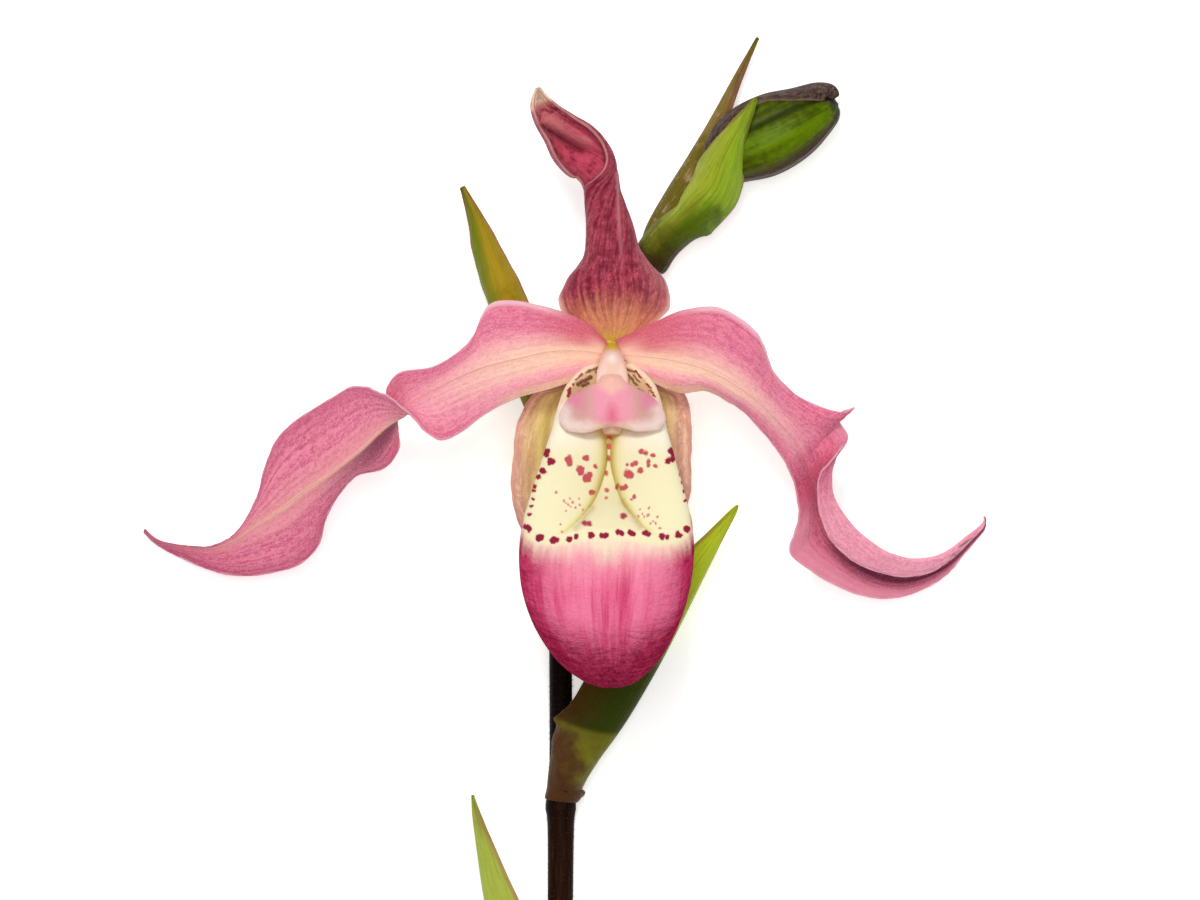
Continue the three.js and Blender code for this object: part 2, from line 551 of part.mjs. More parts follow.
// Rows of five: lower margin, between, midrib, between, upper margin. The outer half is a
// channel: its upper side rises from the midrib and folds back over it.
const RIGHT_PETAL_NET = [
  [[10.4, 15.3, 26.4], [9.8, 16.4, 26.5], [9.2, 17.3, 26.6], [8.7, 18.3, 26.5], [8.4, 19.4, 26.4]],
  [[13.2, 13.6, 28.2], [12.9, 15.2, 28.4], [12.8, 17.0, 28.4], [12.8, 19.2, 28.6], [12.9, 21.5, 28.4]],
  [[17.7, 11.6, 29.0], [17.4, 14.0, 29.8], [17.4, 16.3, 29.8], [17.7, 20.0, 30.2], [18.6, 23.9, 29.8]],
  [[21.5, 11.9, 29.4], [21.8, 13.4, 30.2], [22.2, 14.9, 30.4], [23.1, 19.2, 30.8], [24.3, 24.1, 29.8]],
  [[25.1, 10.4, 28.6], [25.8, 11.3, 29.6], [26.7, 12.4, 29.9], [28.1, 15.9, 30.0], [29.7, 20.3, 28.8]],
  [[28.2, 8.1, 27.6], [29.0, 9.1, 28.4], [29.6, 10.2, 28.6], [30.6, 12.8, 28.4], [31.5, 15.7, 26.8]],
  [[30.3, 5.8, 26.2], [31.1, 6.9, 26.8], [32.0, 7.9, 27.0], [33.2, 10.1, 26.8], [34.2, 12.2, 25.6]],
  [[32.3, 3.4, 24.8], [33.3, 4.5, 25.2], [34.2, 5.5, 25.4], [36.0, 7.8, 25.4], [37.5, 10.1, 25.0]],
  [[33.8, 1.2, 23.8], [34.8, 2.5, 24.0], [35.5, 3.6, 24.0], [37.9, 6.6, 24.6], [41.1, 8.8, 26.0]],
  [[34.0, 0.7, 23.6], [35.0, 2.0, 23.7], [35.8, 3.0, 23.6], [38.7, 6.2, 24.4], [42.6, 8.8, 26.4]],
  [[34.2, 0.3, 23.4], [35.2, 1.5, 23.4], [36.1, 2.4, 23.2], [39.2, 5.8, 24.1], [44.1, 9.4, 26.6]],
  [[34.4, -0.1, 23.1], [35.4, 1.0, 23.1], [36.3, 1.9, 22.8], [39.4, 5.3, 23.7], [42.5, 8.1, 25.2]],
  [[34.6, -0.6, 22.8], [35.7, 0.4, 22.8], [36.6, 1.3, 22.4], [39.6, 4.7, 23.2], [41.9, 7.2, 23.4]],
  [[34.9, -1.3, 22.4], [36.1, -0.6, 22.2], [37.2, 0.3, 21.6], [40.4, 3.1, 23.6], [43.2, 4.8, 22.0]],
  [[35.2, -2.2, 21.8], [36.6, -1.5, 21.4], [37.6, -0.8, 20.8], [40.5, 1.2, 23.6], [41.4, 2.2, 25.4]],
  [[35.5, -3.4, 21.2], [37.0, -2.7, 20.6], [38.1, -1.9, 19.9], [40.4, -0.9, 22.8], [39.3, -0.1, 25.2]],
  [[35.8, -5.7, 20.0], [37.4, -4.8, 19.0], [38.7, -4.0, 18.2], [40.7, -3.9, 21.6], [38.6, -3.4, 24.0]],
  [[35.6, -8.5, 18.0], [37.5, -7.8, 16.8], [39.4, -7.0, 15.8], [42.6, -7.2, 19.4], [39.3, -7.5, 21.6]],
  [[34.5, -12.3, 15.6], [37.8, -10.8, 14.4], [41.1, -10.0, 13.4], [45.1, -9.9, 17.0], [40.9, -10.8, 19.2]],
  [[38.1, -15.4, 13.2], [40.8, -13.7, 12.0], [43.5, -12.4, 11.0], [48.3, -12.2, 14.6], [44.1, -13.7, 16.6]],
  [[42.4, -17.8, 10.6], [44.4, -16.1, 9.6], [46.8, -14.5, 8.6], [51.0, -13.3, 12.0], [47.5, -15.2, 13.8]],
  [[46.8, -19.2, 8.2], [48.3, -17.6, 7.2], [50.2, -15.9, 6.2], [53.5, -13.7, 9.4], [51.0, -16.0, 11.0]],
  [[51.0, -19.2, 5.8], [52.2, -17.7, 5.0], [53.7, -15.9, 4.2], [56.1, -13.4, 6.8], [54.3, -15.8, 8.0]],
  [[54.9, -17.9, 3.8], [55.8, -16.5, 3.2], [56.9, -14.8, 2.7], [58.3, -12.6, 4.6], [57.1, -14.7, 5.6]],
  [[58.2, -15.8, 2.2], [58.8, -14.7, 1.9], [59.5, -13.3, 1.6], [60.4, -11.1, 2.8], [59.8, -12.6, 3.4]],
  [[61.2, -12.3, 1.2], [61.5, -11.7, 1.1], [61.9, -10.9, 1.0], [62.2, -9.6, 1.6], [62.2, -10.3, 2.0]],
  [[63.6, -9.3, 0.7], [63.8, -9.1, 0.7], [63.9, -8.8, 0.7], [63.8, -8.1, 0.9], [63.9, -8.4, 1.1]],
  [[64.2, -7.3, 0.6], [64.1, -7.3, 0.6], [64.0, -7.2, 0.6], [64.0, -7.1, 0.7], [63.9, -7.0, 0.8]],
];

// Rows of three behind the lip: left margin, middle, right margin.
const SYNSEPAL_NET = [
  [[6.5, 16.2, 22.9], [7.6, 16.2, 22.8], [8.8, 16.2, 22.9]],
  [[2.2, 13.5, 22.6], [7.5, 13.2, 20.6], [12.8, 13.5, 22.6]],
  [[-3.2, 11.8, 22.4], [7.2, 11.4, 19.0], [18.0, 11.8, 22.4]],
  [[-5.7, 8.7, 22.2], [6.9, 8.4, 17.8], [19.5, 8.7, 22.2]],
  [[-6.7, 4.5, 22.0], [6.5, 4.2, 16.8], [19.6, 4.5, 22.0]],
  [[-7.2, -1.5, 21.8], [6.3, -1.8, 16.2], [19.6, -0.8, 21.8]],
  [[-7.0, -5.2, 21.6], [6.5, -6.0, 16.2], [19.2, -5.0, 21.6]],
  [[-5.4, -9.4, 21.0], [6.8, -10.5, 16.4], [18.0, -9.4, 21.0]],
  [[-2.7, -14.2, 19.8], [7.0, -15.0, 16.8], [16.2, -14.2, 19.8]],
  [[1.2, -19.2, 18.6], [7.3, -19.5, 17.2], [13.2, -19.2, 18.6]],
  [[5.1, -22.8, 17.8], [7.5, -23.1, 17.6], [9.9, -22.8, 17.8]],
  [[7.2, -24.4, 17.8], [7.6, -24.6, 17.8], [8.1, -24.4, 17.8]],
];

// The dorsal sepal: [x, y, z, inset, radius, turn, roll]. The line runs from the midrib at the
// base to the middle of the roll. The sides turn back from a broad base into a tube, the tube
// twists half round, and it opens towards the front in a scoop below the tip.
const DORSAL_LINE = [
  [8.1, 19.0, 25.6, 0, 6.0, 16, 0],
  [8.1, 21.8, 25.5, 1.2, 7.8, 45, 0],
  [8.1, 24.3, 25.2, 2.4, 8.95, 62, 0],
  [8.2, 26.7, 24.8, 3.4, 8.4, 76, 0],
  [8.1, 29.0, 24.3, 4.0, 6.9, 88, 0],
  [8.0, 30.8, 24.0, 4.1, 5.0, 112, 4],
  [7.8, 32.9, 24.2, 3.75, 3.75, 150, 10],
  [7.5, 35.7, 24.6, 3.25, 3.25, 165, 22],
  [6.9, 38.9, 24.8, 2.75, 2.75, 168, 48],
  [6.3, 41.1, 25.0, 2.5, 2.5, 168, 76],
  [5.9, 43.3, 25.3, 2.55, 2.55, 162, 106],
  [5.5, 44.6, 25.6, 2.8, 2.8, 142, 134],
  [4.9, 45.8, 26.0, 3.2, 3.2, 118, 158],
  [3.7, 47.1, 26.5, 3.6, 3.6, 110, 172],
  [1.9, 49.0, 27.0, 3.5, 3.5, 108, 180],
  [0.1, 51.0, 27.5, 2.7, 2.7, 106, 186],
  [-1.6, 52.9, 28.0, 2.1, 2.1, 102, 190],
  [-2.7, 54.7, 28.6, 1.5, 1.5, 98, 190],
  [-3.1, 56.1, 29.3, 0.8, 0.8, 90, 186],
  [-3.2, 57.0, 29.8, 0.35, 0.35, 80, 180],
];

const dorsalStations = () =>
  DORSAL_LINE.map(([x, y, z, inset, radius, turn, roll]) => {
    const halfWidth = radius * THREE.MathUtils.degToRad(turn);
    return [x, y, z, inset, halfWidth, turn, roll, 1];
  });

const leftPetal = (grow) => sheet(netGrid(LEFT_PETAL_NET, 34, 8), PETAL_THICKNESS, { grow });
const rightPetal = (grow) => sheet(netGrid(RIGHT_PETAL_NET, 38, 8), PETAL_THICKNESS, { grow });
const synsepal = (grow) => sheet(netGrid(SYNSEPAL_NET, 14, 8), SEPAL_THICKNESS, { grow });
const dorsalSepal = (grow) => sheet(rolledGrid(dorsalStations(), 30, 10), SEPAL_THICKNESS, { grow });

// ---------------------------------------------------------------- bud

const BUD_OVARY_LINE = [
  [14.6, 33.6, 5.3, 0.9],
  [17.4, 36.6, 6.2, 1.25],
  [20.6, 39.2, 6.8, 1.5],
  [23.6, 41.6, 7.1, 1.6],
  [25.8, 44.0, 7.2, 1.6],
  [27.0, 46.0, 7.3, 1.5],
];

// [x, y, z, half across, half deep] from the base to the tip.
const BUD_BODY_LINE = [
  [22.6, 45.2, 7.2, 1.5, 1.6],
  [23.9, 46.1, 7.2, 3.4, 3.4],
  [26.6, 47.6, 7.2, 4.6, 4.7],
  [30.0, 49.35, 7.2, 5.55, 5.5],
  [33.6, 51.25, 7.3, 5.5, 5.5],
  [37.1, 53.2, 7.4, 4.65, 4.7],
  [40.1, 54.7, 7.6, 3.0, 3.1],
  [41.1, 55.5, 7.7, 1.2, 1.4],
];

// The upper sepal of the bud: the line is its keel, on the bud's upper side.
const BUD_CAP_LINE = [
  [21.9, 48.4, 7.2, 0, 3.0, 60, -90, 1],
  [23.4, 51.6, 7.2, 0, 3.9, 50, -90, 1],
  [26.5, 54.3, 7.2, 0, 3.6, 35, -90, 1],
  [30.5, 56.2, 7.2, 0, 3.3, 31, -90, 1],
  [34.7, 57.1, 7.3, 0, 4.4, 43, -90, 1],
  [38.5, 58.0, 7.4, 0, 4.8, 65, -90, 1],
  [40.9, 57.7, 7.6, 0, 3.7, 84, -90, 1],
  [41.9, 56.4, 7.7, 0, 1.7, 90, -90, 1],
];

const budOvary = (grow) =>
  sweep(BUD_OVARY_LINE.map(([x, y, z, radius]) => [x, y, z, radius, radius]), 10, 8, { grow });
const budBody = (grow) => sweep(BUD_BODY_LINE, 12, 14, { sideways: [0.5, -0.86, 0], grow });
const budCap = (grow) => sheet(rolledGrid(BUD_CAP_LINE, 14, 6), BUD_SEPAL_THICKNESS, { grow });

// ---------------------------------------------------------------- assembly

const flower = new THREE.Group();
flower.name = "phragmipedium_orchid";

function addNode(name, solid, finish) {
  const { vertProperties, triVerts } = solid.getMesh();
  const geometry = new THREE.BufferGeometry();
  geometry.setAttribute("position", new THREE.BufferAttribute(new Float32Array(vertProperties), 3));
  geometry.setIndex(new THREE.BufferAttribute(new Uint32Array(triVerts), 1));
  geometry.computeVertexNormals();
  const mesh = new THREE.Mesh(geometry, new THREE.MeshStandardMaterial({ ...finish, metalness: 0 }));
  mesh.name = name;
  flower.add(mesh);
}

const stem = pieceOf(stemPiece);
const ovary = pieceOf(ovaryPiece);
const column = pieceOf(columnPiece);
const shield = pieceOf(shieldPiece);
const lip = pieceOf(lipPiece);
const petalLeft = pieceOf(leftPetal);
const petalRight = pieceOf(rightPetal);
const dorsal = pieceOf(dorsalSepal);
const lowerSepal = pieceOf(synsepal);
const bractLower = bractPiece(LOWER_BRACT);
const bractStem = bractPiece(STEM_BRACT);
const bractFlower = bractPiece(FLOWER_BRACT);
const bractTip = bractPiece(TIP_BRACT);
const bractBud = bractPiece(BUD_BRACT);
const bud = pieceOf(budBody);
const cap = pieceOf(budCap);
const stalk = pieceOf(budOvary);

addNode("stem", stem.solid, FINISH.stem);
addNode("ovary", trimmed(ovary.solid, stem.cutter), FINISH.ovary);
addNode("column", trimmed(column.solid, ovary.cutter), FINISH.column);
addNode("lip", trimmed(lip.solid, ovary.cutter, column.cutter), FINISH.lip);
addNode("staminode", trimmed(shield.solid, column.cutter, lip.cutter), FINISH.staminode);
addNode("petal_left", trimmed(petalLeft.solid, ovary.cutter, column.cutter, lip.cutter), FINISH.petal);
addNode("petal_right", trimmed(petalRight.solid, ovary.cutter, column.cutter, lip.cutter), FINISH.petal);
addNode(
  "dorsal_sepal",
  trimmed(dorsal.solid, ovary.cutter, column.cutter, petalLeft.cutter, petalRight.cutter),
  FINISH.dorsal,
);
addNode(
  "synsepal",
  trimmed(lowerSepal.solid, ovary.cutter, column.cutter, lip.cutter, petalLeft.cutter, petalRight.cutter),
  FINISH.synsepal,
);
addNode("lower_bract", trimmed(bractLower.solid, stem.cutter), FINISH.bract);
addNode("stem_bract", trimmed(bractStem.solid, stem.cutter), FINISH.bract);
addNode("flower_bract", trimmed(bractFlower.solid, stem.cutter, ovary.cutter, belowSurface()), FINISH.bract);
addNode("bud_stalk", trimmed(stalk.solid, stem.cutter), FINISH.ovary);
addNode("bud_upper_sepal", cap.solid, FINISH.budDark);
addNode("bud_lower_sepals", trimmed(bud.solid, stalk.cutter, cap.cutter), FINISH.budGreen);
addNode("bud_bract", trimmed(bractBud.solid, stem.cutter, stalk.cutter, bud.cutter, cap.cutter), FINISH.bract);
addNode(
  "tip_bract",
  trimmed(bractTip.solid, stem.cutter, stalk.cutter, bud.cutter, cap.cutter, bractBud.cutter),
  FINISH.bract,
);

export default flower;
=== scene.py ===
import math

import bpy
import numpy as np
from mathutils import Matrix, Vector


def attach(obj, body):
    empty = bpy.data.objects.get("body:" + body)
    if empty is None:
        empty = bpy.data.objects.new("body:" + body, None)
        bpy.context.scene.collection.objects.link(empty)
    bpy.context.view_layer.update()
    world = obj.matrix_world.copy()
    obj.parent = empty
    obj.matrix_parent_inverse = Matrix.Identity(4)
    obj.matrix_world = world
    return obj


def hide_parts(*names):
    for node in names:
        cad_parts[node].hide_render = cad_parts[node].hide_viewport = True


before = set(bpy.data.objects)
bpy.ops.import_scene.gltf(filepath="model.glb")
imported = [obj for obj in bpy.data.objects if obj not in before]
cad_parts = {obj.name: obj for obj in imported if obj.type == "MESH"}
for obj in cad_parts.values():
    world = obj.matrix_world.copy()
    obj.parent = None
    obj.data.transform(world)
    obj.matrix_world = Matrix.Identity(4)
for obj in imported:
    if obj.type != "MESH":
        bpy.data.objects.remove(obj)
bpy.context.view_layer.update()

# ------------------------------------------------------------------ sizes, in millimetres

MM = 0.001
PETAL_HALF = 0.42  # half the thickness of a petal at its midrib
SEPAL_HALF = 0.42
BRACT_HALF = 0.36
LIP_HALF = 0.48
SHIELD_HALF = 0.5
CAP_HALF = 0.38
FLOWER_AXIS_X = 7.8

CAMERA_LENS = 800.0
SENSOR_WIDTH = 36.0
FRAME_CENTRE = (6.0, 3.0)
FRAME_WIDTH = 180.0
FOCUS_HEIGHT = 22.0
FLOOR_GLOW = 0.47
SKY = 0.27
OVERHEAD_WATTS = 5.7
KEY_WATTS = 5.0
LINING_GLOW = 0.35  # painted glow of the pouch's lining, standing in for light that comes through the pouch

SHIELD_SINK = 0.9  # how far the shield's top edge sinks into the column
BRACT_LOWEST = 0.02  # no bract's skin dips below this height
LIP_FLUTES = 34  # counts round the pouch
LIP_PLEATS = 61
SEAM_TURN = math.radians(115)  # where the bud's seam runs, round its axis

# Steps of each piece's grid, along it and across or round it.
PETAL_STEPS = (220, 44)
DORSAL_STEPS = (240, 36)
SYNSEPAL_STEPS = (140, 60)
LIP_STEPS = (288, 150)  # round it, then along its ribs
BRACT_STEPS = (160, 28)
SHIELD_STEPS = (72, 96)
CAP_STEPS = (120, 20)
STEM_STEPS = (320, 40)
OVARY_STEPS = (90, 48)
COLUMN_STEPS = (80, 48)
STALK_STEPS = (60, 40)
BUD_STEPS = (150, 96)

# Hairs: how far apart, then length, width and how far each strays from its direction.
MARGIN_SPACING = 0.3
MARGIN_HAIR = (0.45, 0.018, 0.35)
BRACT_SPACING = 0.35
BRACT_HAIR = (0.35, 0.018, 0.4)
BRACT_HAIR_LOWEST = 0.3
SKIN_SPACING = 0.55
SKIN_HAIR = (0.35, 0.03, 0.5)
SHORTEST_HAIR = 0.45  # shares of the usual length
LONGEST_HAIR = 1.15

# Seeds of the random draws; each piece adds its own number.
MARGIN_SEED = 11
BRACT_SEED = 31
PLACE_SEED = 51
SKIN_SEED = 61

# The stage, in metres.
FLOOR_HALF = 3.0
LIGHT_AIM = (0.006, 0.0, 0.02)
OVERHEAD_PLACE = (0.02, 0.04, 1.3)
OVERHEAD_SIZE = 0.5
KEY_PLACE = (-0.05, 0.34, 0.95)
KEY_SIZE = 0.2
KEY_TINT = (1.0, 0.985, 0.965)

# ------------------------------------------------------------------ control points

LEFT_PETAL = (
    ((6.0, 15.4, 26.4), (6.6, 17.4, 26.6), (7.0, 19.2, 26.4)),
    ((3.0, 13.8, 28.6), (3.3, 17.8, 28.2), (3.8, 22.1, 28.2)),
    ((-1.5, 12.2, 29.8), (-1.5, 17.7, 29.8), (-1.2, 24.1, 29.4)),
    ((-6.8, 10.7, 30.2), (-6.9, 16.5, 30.6), (-7.2, 25.3, 29.6)),
    ((-11.2, 8.4, 30.0), (-11.4, 15.3, 30.4), (-10.9, 24.4, 29.6)),
    ((-14.7, 5.8, 29.6), (-15.3, 13.7, 29.2), (-13.5, 19.3, 29.8)),
    ((-17.8, 4.5, 29.4), (-18.6, 12.0, 28.0), (-18.6, 15.6, 28.2)),
    ((-20.4, 6.1, 29.6), (-21.0, 10.5, 26.8), (-23.7, 14.7, 25.6)),
    ((-22.3, 8.1, 29.6), (-22.5, 9.4, 26.2), (-25.6, 13.0, 22.8)),
    ((-24.1, 9.9, 29.2), (-23.4, 8.5, 25.6), (-25.8, 11.1, 21.4)),
    ((-25.8, 11.0, 27.6), (-24.6, 7.8, 24.8), (-24.9, 8.4, 20.8)),
    ((-27.4, 11.8, 25.2), (-25.8, 6.9, 23.8), (-24.3, 5.8, 20.6)),
    ((-29.1, 12.4, 23.0), (-27.4, 5.4, 22.6), (-24.3, 3.1, 20.4)),
    ((-31.5, 12.4, 20.6), (-29.5, 3.3, 21.0), (-26.2, 0.4, 19.6)),
    ((-34.4, 10.7, 18.2), (-32.2, 1.1, 19.2), (-30.4, -0.8, 17.8)),
    ((-37.6, 8.8, 15.6), (-35.1, -1.1, 17.0), (-33.0, -3.4, 15.4)),
    ((-41.4, 6.0, 12.8), (-38.2, -3.1, 14.4), (-35.2, -7.3, 12.6)),
    ((-43.8, 2.2, 10.8), (-40.9, -5.2, 12.0), (-36.3, -11.2, 10.4)),
    ((-45.3, -3.0, 9.2), (-43.5, -6.9, 10.2), (-39.3, -14.2, 8.6)),
    ((-46.9, -6.8, 7.6), (-46.2, -8.7, 8.2), (-44.2, -15.6, 6.8)),
    ((-49.6, -10.2, 5.8), (-49.2, -10.7, 6.0), (-48.9, -15.9, 5.2)),
    ((-53.2, -11.8, 3.8), (-52.9, -11.9, 3.9), (-53.2, -14.9, 3.6)),
    ((-57.8, -11.4, 2.0), (-57.6, -11.5, 2.1), (-57.8, -12.9, 2.0)),
    ((-60.8, -10.5, 0.9), (-60.8, -10.7, 1.0), (-60.9, -11.2, 1.0)),
    ((-62.6, -8.9, 0.6), (-62.7, -9.2, 0.6), (-62.8, -9.4, 0.6)),
)

RIGHT_PETAL = (
    ((10.4, 15.3, 26.4), (9.8, 16.4, 26.5), (9.2, 17.3, 26.6), (8.7, 18.3, 26.5), (8.4, 19.4, 26.4)),
    ((13.2, 13.6, 28.2), (12.9, 15.2, 28.4), (12.8, 17.0, 28.4), (12.8, 19.2, 28.6), (12.9, 21.5, 28.4)),
    ((17.7, 11.6, 29.0), (17.4, 14.0, 29.8), (17.4, 16.3, 29.8), (17.7, 20.0, 30.2), (18.6, 23.9, 29.8)),
    ((21.5, 11.9, 29.4), (21.8, 13.4, 30.2), (22.2, 14.9, 30.4), (23.1, 19.2, 30.8), (24.3, 24.1, 29.8)),
    ((25.1, 10.4, 28.6), (25.8, 11.3, 29.6), (26.7, 12.4, 29.9), (28.1, 15.9, 30.0), (29.7, 20.3, 28.8)),
    ((28.2, 8.1, 27.6), (29.0, 9.1, 28.4), (29.6, 10.2, 28.6), (30.6, 12.8, 28.4), (31.5, 15.7, 26.8)),
    ((30.3, 5.8, 26.2), (31.1, 6.9, 26.8), (32.0, 7.9, 27.0), (33.2, 10.1, 26.8), (34.2, 12.2, 25.6)),
    ((32.3, 3.4, 24.8), (33.3, 4.5, 25.2), (34.2, 5.5, 25.4), (36.0, 7.8, 25.4), (37.5, 10.1, 25.0)),
    ((33.8, 1.2, 23.8), (34.8, 2.5, 24.0), (35.5, 3.6, 24.0), (37.9, 6.6, 24.6), (41.1, 8.8, 26.0)),
    ((34.0, 0.7, 23.6), (35.0, 2.0, 23.7), (35.8, 3.0, 23.6), (38.7, 6.2, 24.4), (42.6, 8.8, 26.4)),
    ((34.2, 0.3, 23.4), (35.2, 1.5, 23.4), (36.1, 2.4, 23.2), (39.2, 5.8, 24.1), (44.1, 9.4, 26.6)),
    ((34.4, -0.1, 23.1), (35.4, 1.0, 23.1), (36.3, 1.9, 22.8), (39.4, 5.3, 23.7), (42.5, 8.1, 25.2)),
    ((34.6, -0.6, 22.8), (35.7, 0.4, 22.8), (36.6, 1.3, 22.4), (39.6, 4.7, 23.2), (41.9, 7.2, 23.4)),
    ((34.9, -1.3, 22.4), (36.1, -0.6, 22.2), (37.2, 0.3, 21.6), (40.4, 3.1, 23.6), (43.2, 4.8, 22.0)),
    ((35.2, -2.2, 21.8), (36.6, -1.5, 21.4), (37.6, -0.8, 20.8), (40.5, 1.2, 23.6), (41.4, 2.2, 25.4)),
    ((35.5, -3.4, 21.2), (37.0, -2.7, 20.6), (38.1, -1.9, 19.9), (40.4, -0.9, 22.8), (39.3, -0.1, 25.2)),
    ((35.8, -5.7, 20.0), (37.4, -4.8, 19.0), (38.7, -4.0, 18.2), (40.7, -3.9, 21.6), (38.6, -3.4, 24.0)),
    ((35.6, -8.5, 18.0), (37.5, -7.8, 16.8), (39.4, -7.0, 15.8), (42.6, -7.2, 19.4), (39.3, -7.5, 21.6)),
    ((34.5, -12.3, 15.6), (37.8, -10.8, 14.4), (41.1, -10.0, 13.4), (45.1, -9.9, 17.0), (40.9, -10.8, 19.2)),
    ((38.1, -15.4, 13.2), (40.8, -13.7, 12.0), (43.5, -12.4, 11.0), (48.3, -12.2, 14.6), (44.1, -13.7, 16.6)),
    ((42.4, -17.8, 10.6), (44.4, -16.1, 9.6), (46.8, -14.5, 8.6), (51.0, -13.3, 12.0), (47.5, -15.2, 13.8)),
    ((46.8, -19.2, 8.2), (48.3, -17.6, 7.2), (50.2, -15.9, 6.2), (53.5, -13.7, 9.4), (51.0, -16.0, 11.0)),
    ((51.0, -19.2, 5.8), (52.2, -17.7, 5.0), (53.7, -15.9, 4.2), (56.1, -13.4, 6.8), (54.3, -15.8, 8.0)),
    ((54.9, -17.9, 3.8), (55.8, -16.5, 3.2), (56.9, -14.8, 2.7), (58.3, -12.6, 4.6), (57.1, -14.7, 5.6)),
    ((58.2, -15.8, 2.2), (58.8, -14.7, 1.9), (59.5, -13.3, 1.6), (60.4, -11.1, 2.8), (59.8, -12.6, 3.4)),
    ((61.2, -12.3, 1.2), (61.5, -11.7, 1.1), (61.9, -10.9, 1.0), (62.2, -9.6, 1.6), (62.2, -10.3, 2.0)),
    ((63.6, -9.3, 0.7), (63.8, -9.1, 0.7), (63.9, -8.8, 0.7), (63.8, -8.1, 0.9), (63.9, -8.4, 1.1)),
    ((64.2, -7.3, 0.6), (64.1, -7.3, 0.6), (64.0, -7.2, 0.6), (64.0, -7.1, 0.7), (63.9, -7.0, 0.8)),
)

SYNSEPAL = (
    ((6.5, 16.2, 22.9), (7.6, 16.2, 22.8), (8.8, 16.2, 22.9)),
    ((2.2, 13.5, 22.6), (7.5, 13.2, 20.6), (12.8, 13.5, 22.6)),
    ((-3.2, 11.8, 22.4), (7.2, 11.4, 19.0), (18.0, 11.8, 22.4)),
    ((-5.7, 8.7, 22.2), (6.9, 8.4, 17.8), (19.5, 8.7, 22.2)),
    ((-6.7, 4.5, 22.0), (6.5, 4.2, 16.8), (19.6, 4.5, 22.0)),
    ((-7.2, -1.5, 21.8), (6.3, -1.8, 16.2), (19.6, -0.8, 21.8)),
    ((-7.0, -5.2, 21.6), (6.5, -6.0, 16.2), (19.2, -5.0, 21.6)),
    ((-5.4, -9.4, 21.0), (6.8, -10.5, 16.4), (18.0, -9.4, 21.0)),
    ((-2.7, -14.2, 19.8), (7.0, -15.0, 16.8), (16.2, -14.2, 19.8)),
    ((1.2, -19.2, 18.6), (7.3, -19.5, 17.2), (13.2, -19.2, 18.6)),
    ((5.1, -22.8, 17.8), (7.5, -23.1, 17.6), (9.9, -22.8, 17.8)),
    ((7.2, -24.4, 17.8), (7.6, -24.6, 17.8), (8.1, -24.4, 17.8)),
)

# The upper sepal: x, y, z, inset, radius, turn, roll of each section of its roll.
DORSAL = (
    (8.1, 19.0, 25.6, 0, 6.0, 16, 0),
    (8.1, 21.8, 25.5, 1.2, 7.8, 45, 0),
    (8.1, 24.3, 25.2, 2.4, 8.95, 62, 0),
    (8.2, 26.7, 24.8, 3.4, 8.4, 76, 0),
    (8.1, 29.0, 24.3, 4.0, 6.9, 88, 0),
    (8.0, 30.8, 24.0, 4.1, 5.0, 112, 4),
    (7.8, 32.9, 24.2, 3.75, 3.75, 150, 10),
    (7.5, 35.7, 24.6, 3.25, 3.25, 165, 22),
    (6.9, 38.9, 24.8, 2.75, 2.75, 168, 48),
    (6.3, 41.1, 25.0, 2.5, 2.5, 168, 76),
    (5.9, 43.3, 25.3, 2.55, 2.55, 162, 106),
    (5.5, 44.6, 25.6, 2.8, 2.8, 142, 134),
    (4.9, 45.8, 26.0, 3.2, 3.2, 118, 158),
    (3.7, 47.1, 26.5, 3.6, 3.6, 110, 172),
    (1.9, 49.0, 27.0, 3.5, 3.5, 108, 180),
    (0.1, 51.0, 27.5, 2.7, 2.7, 106, 186),
    (-1.6, 52.9, 28.0, 2.1, 2.1, 102, 190),
    (-2.7, 54.7, 28.6, 1.5, 1.5, 98, 190),
    (-3.1, 56.1, 29.3, 0.8, 0.8, 90, 186),
    (-3.2, 57.0, 29.8, 0.35, 0.35, 80, 180),
)

# Rolled blades: x, y, z, inset, half width, turn, roll, sharpness of each section.
LOWER_BRACT = (
    (-0.3, -91.0, 3.1, 2.5, 6.9, 158, -90, 1.0),
    (-0.7, -88.3, 3.3, 3.0, 7.8, 150, -90, 1.05),
    (-5.2, -84.4, 3.8, 0, 9.0, 108, -88, 1.9),
    (-7.8, -78.0, 4.3, 0, 9.0, 96, -84, 2.4),
    (-9.9, -70.5, 5.0, 0, 7.0, 84, -80, 2.6),
    (-11.2, -64.0, 5.7, 0, 5.0, 76, -76, 2.6),
    (-12.2, -57.0, 6.5, 0, 2.7, 70, -72, 2.4),
    (-13.0, -50.9, 7.2, 0, 0.8, 60, -70, 1.8),
    (-13.2, -49.0, 7.4, 0, 0.3, 50, -70, 1.5),
)

STEM_BRACT = (
    (0.1, -49.6, 3.1, 2.5, 6.9, 158, 90, 1.0),
    (0.6, -47.2, 3.5, 3.05, 7.8, 150, 90, 1.05),
    (2.6, -45.8, 4.4, 1.5, 10.2, 130, 90, 1.4),
    (5.6, -43.6, 4.8, 0, 11.0, 112, 90, 1.8),
    (8.5, -39.6, 4.9, 0, 9.8, 100, 88, 2.3),
    (11.2, -35.4, 5.2, 0, 9.8, 92, 86, 2.6),
    (14.6, -29.4, 5.7, 0, 9.2, 82, 82, 2.6),
    (18.1, -22.6, 6.4, 0, 7.4, 76, 78, 2.6),
    (21.3, -16.0, 7.6, 0, 5.1, 72, 74, 2.4),
    (24.1, -10.4, 8.5, 0, 2.6, 66, 72, 2.2),
    (26.2, -6.4, 9.2, 0, 0.9, 58, 70, 1.6),
    (26.7, -5.4, 9.4, 0, 0.3, 50, 70, 1.4),
)

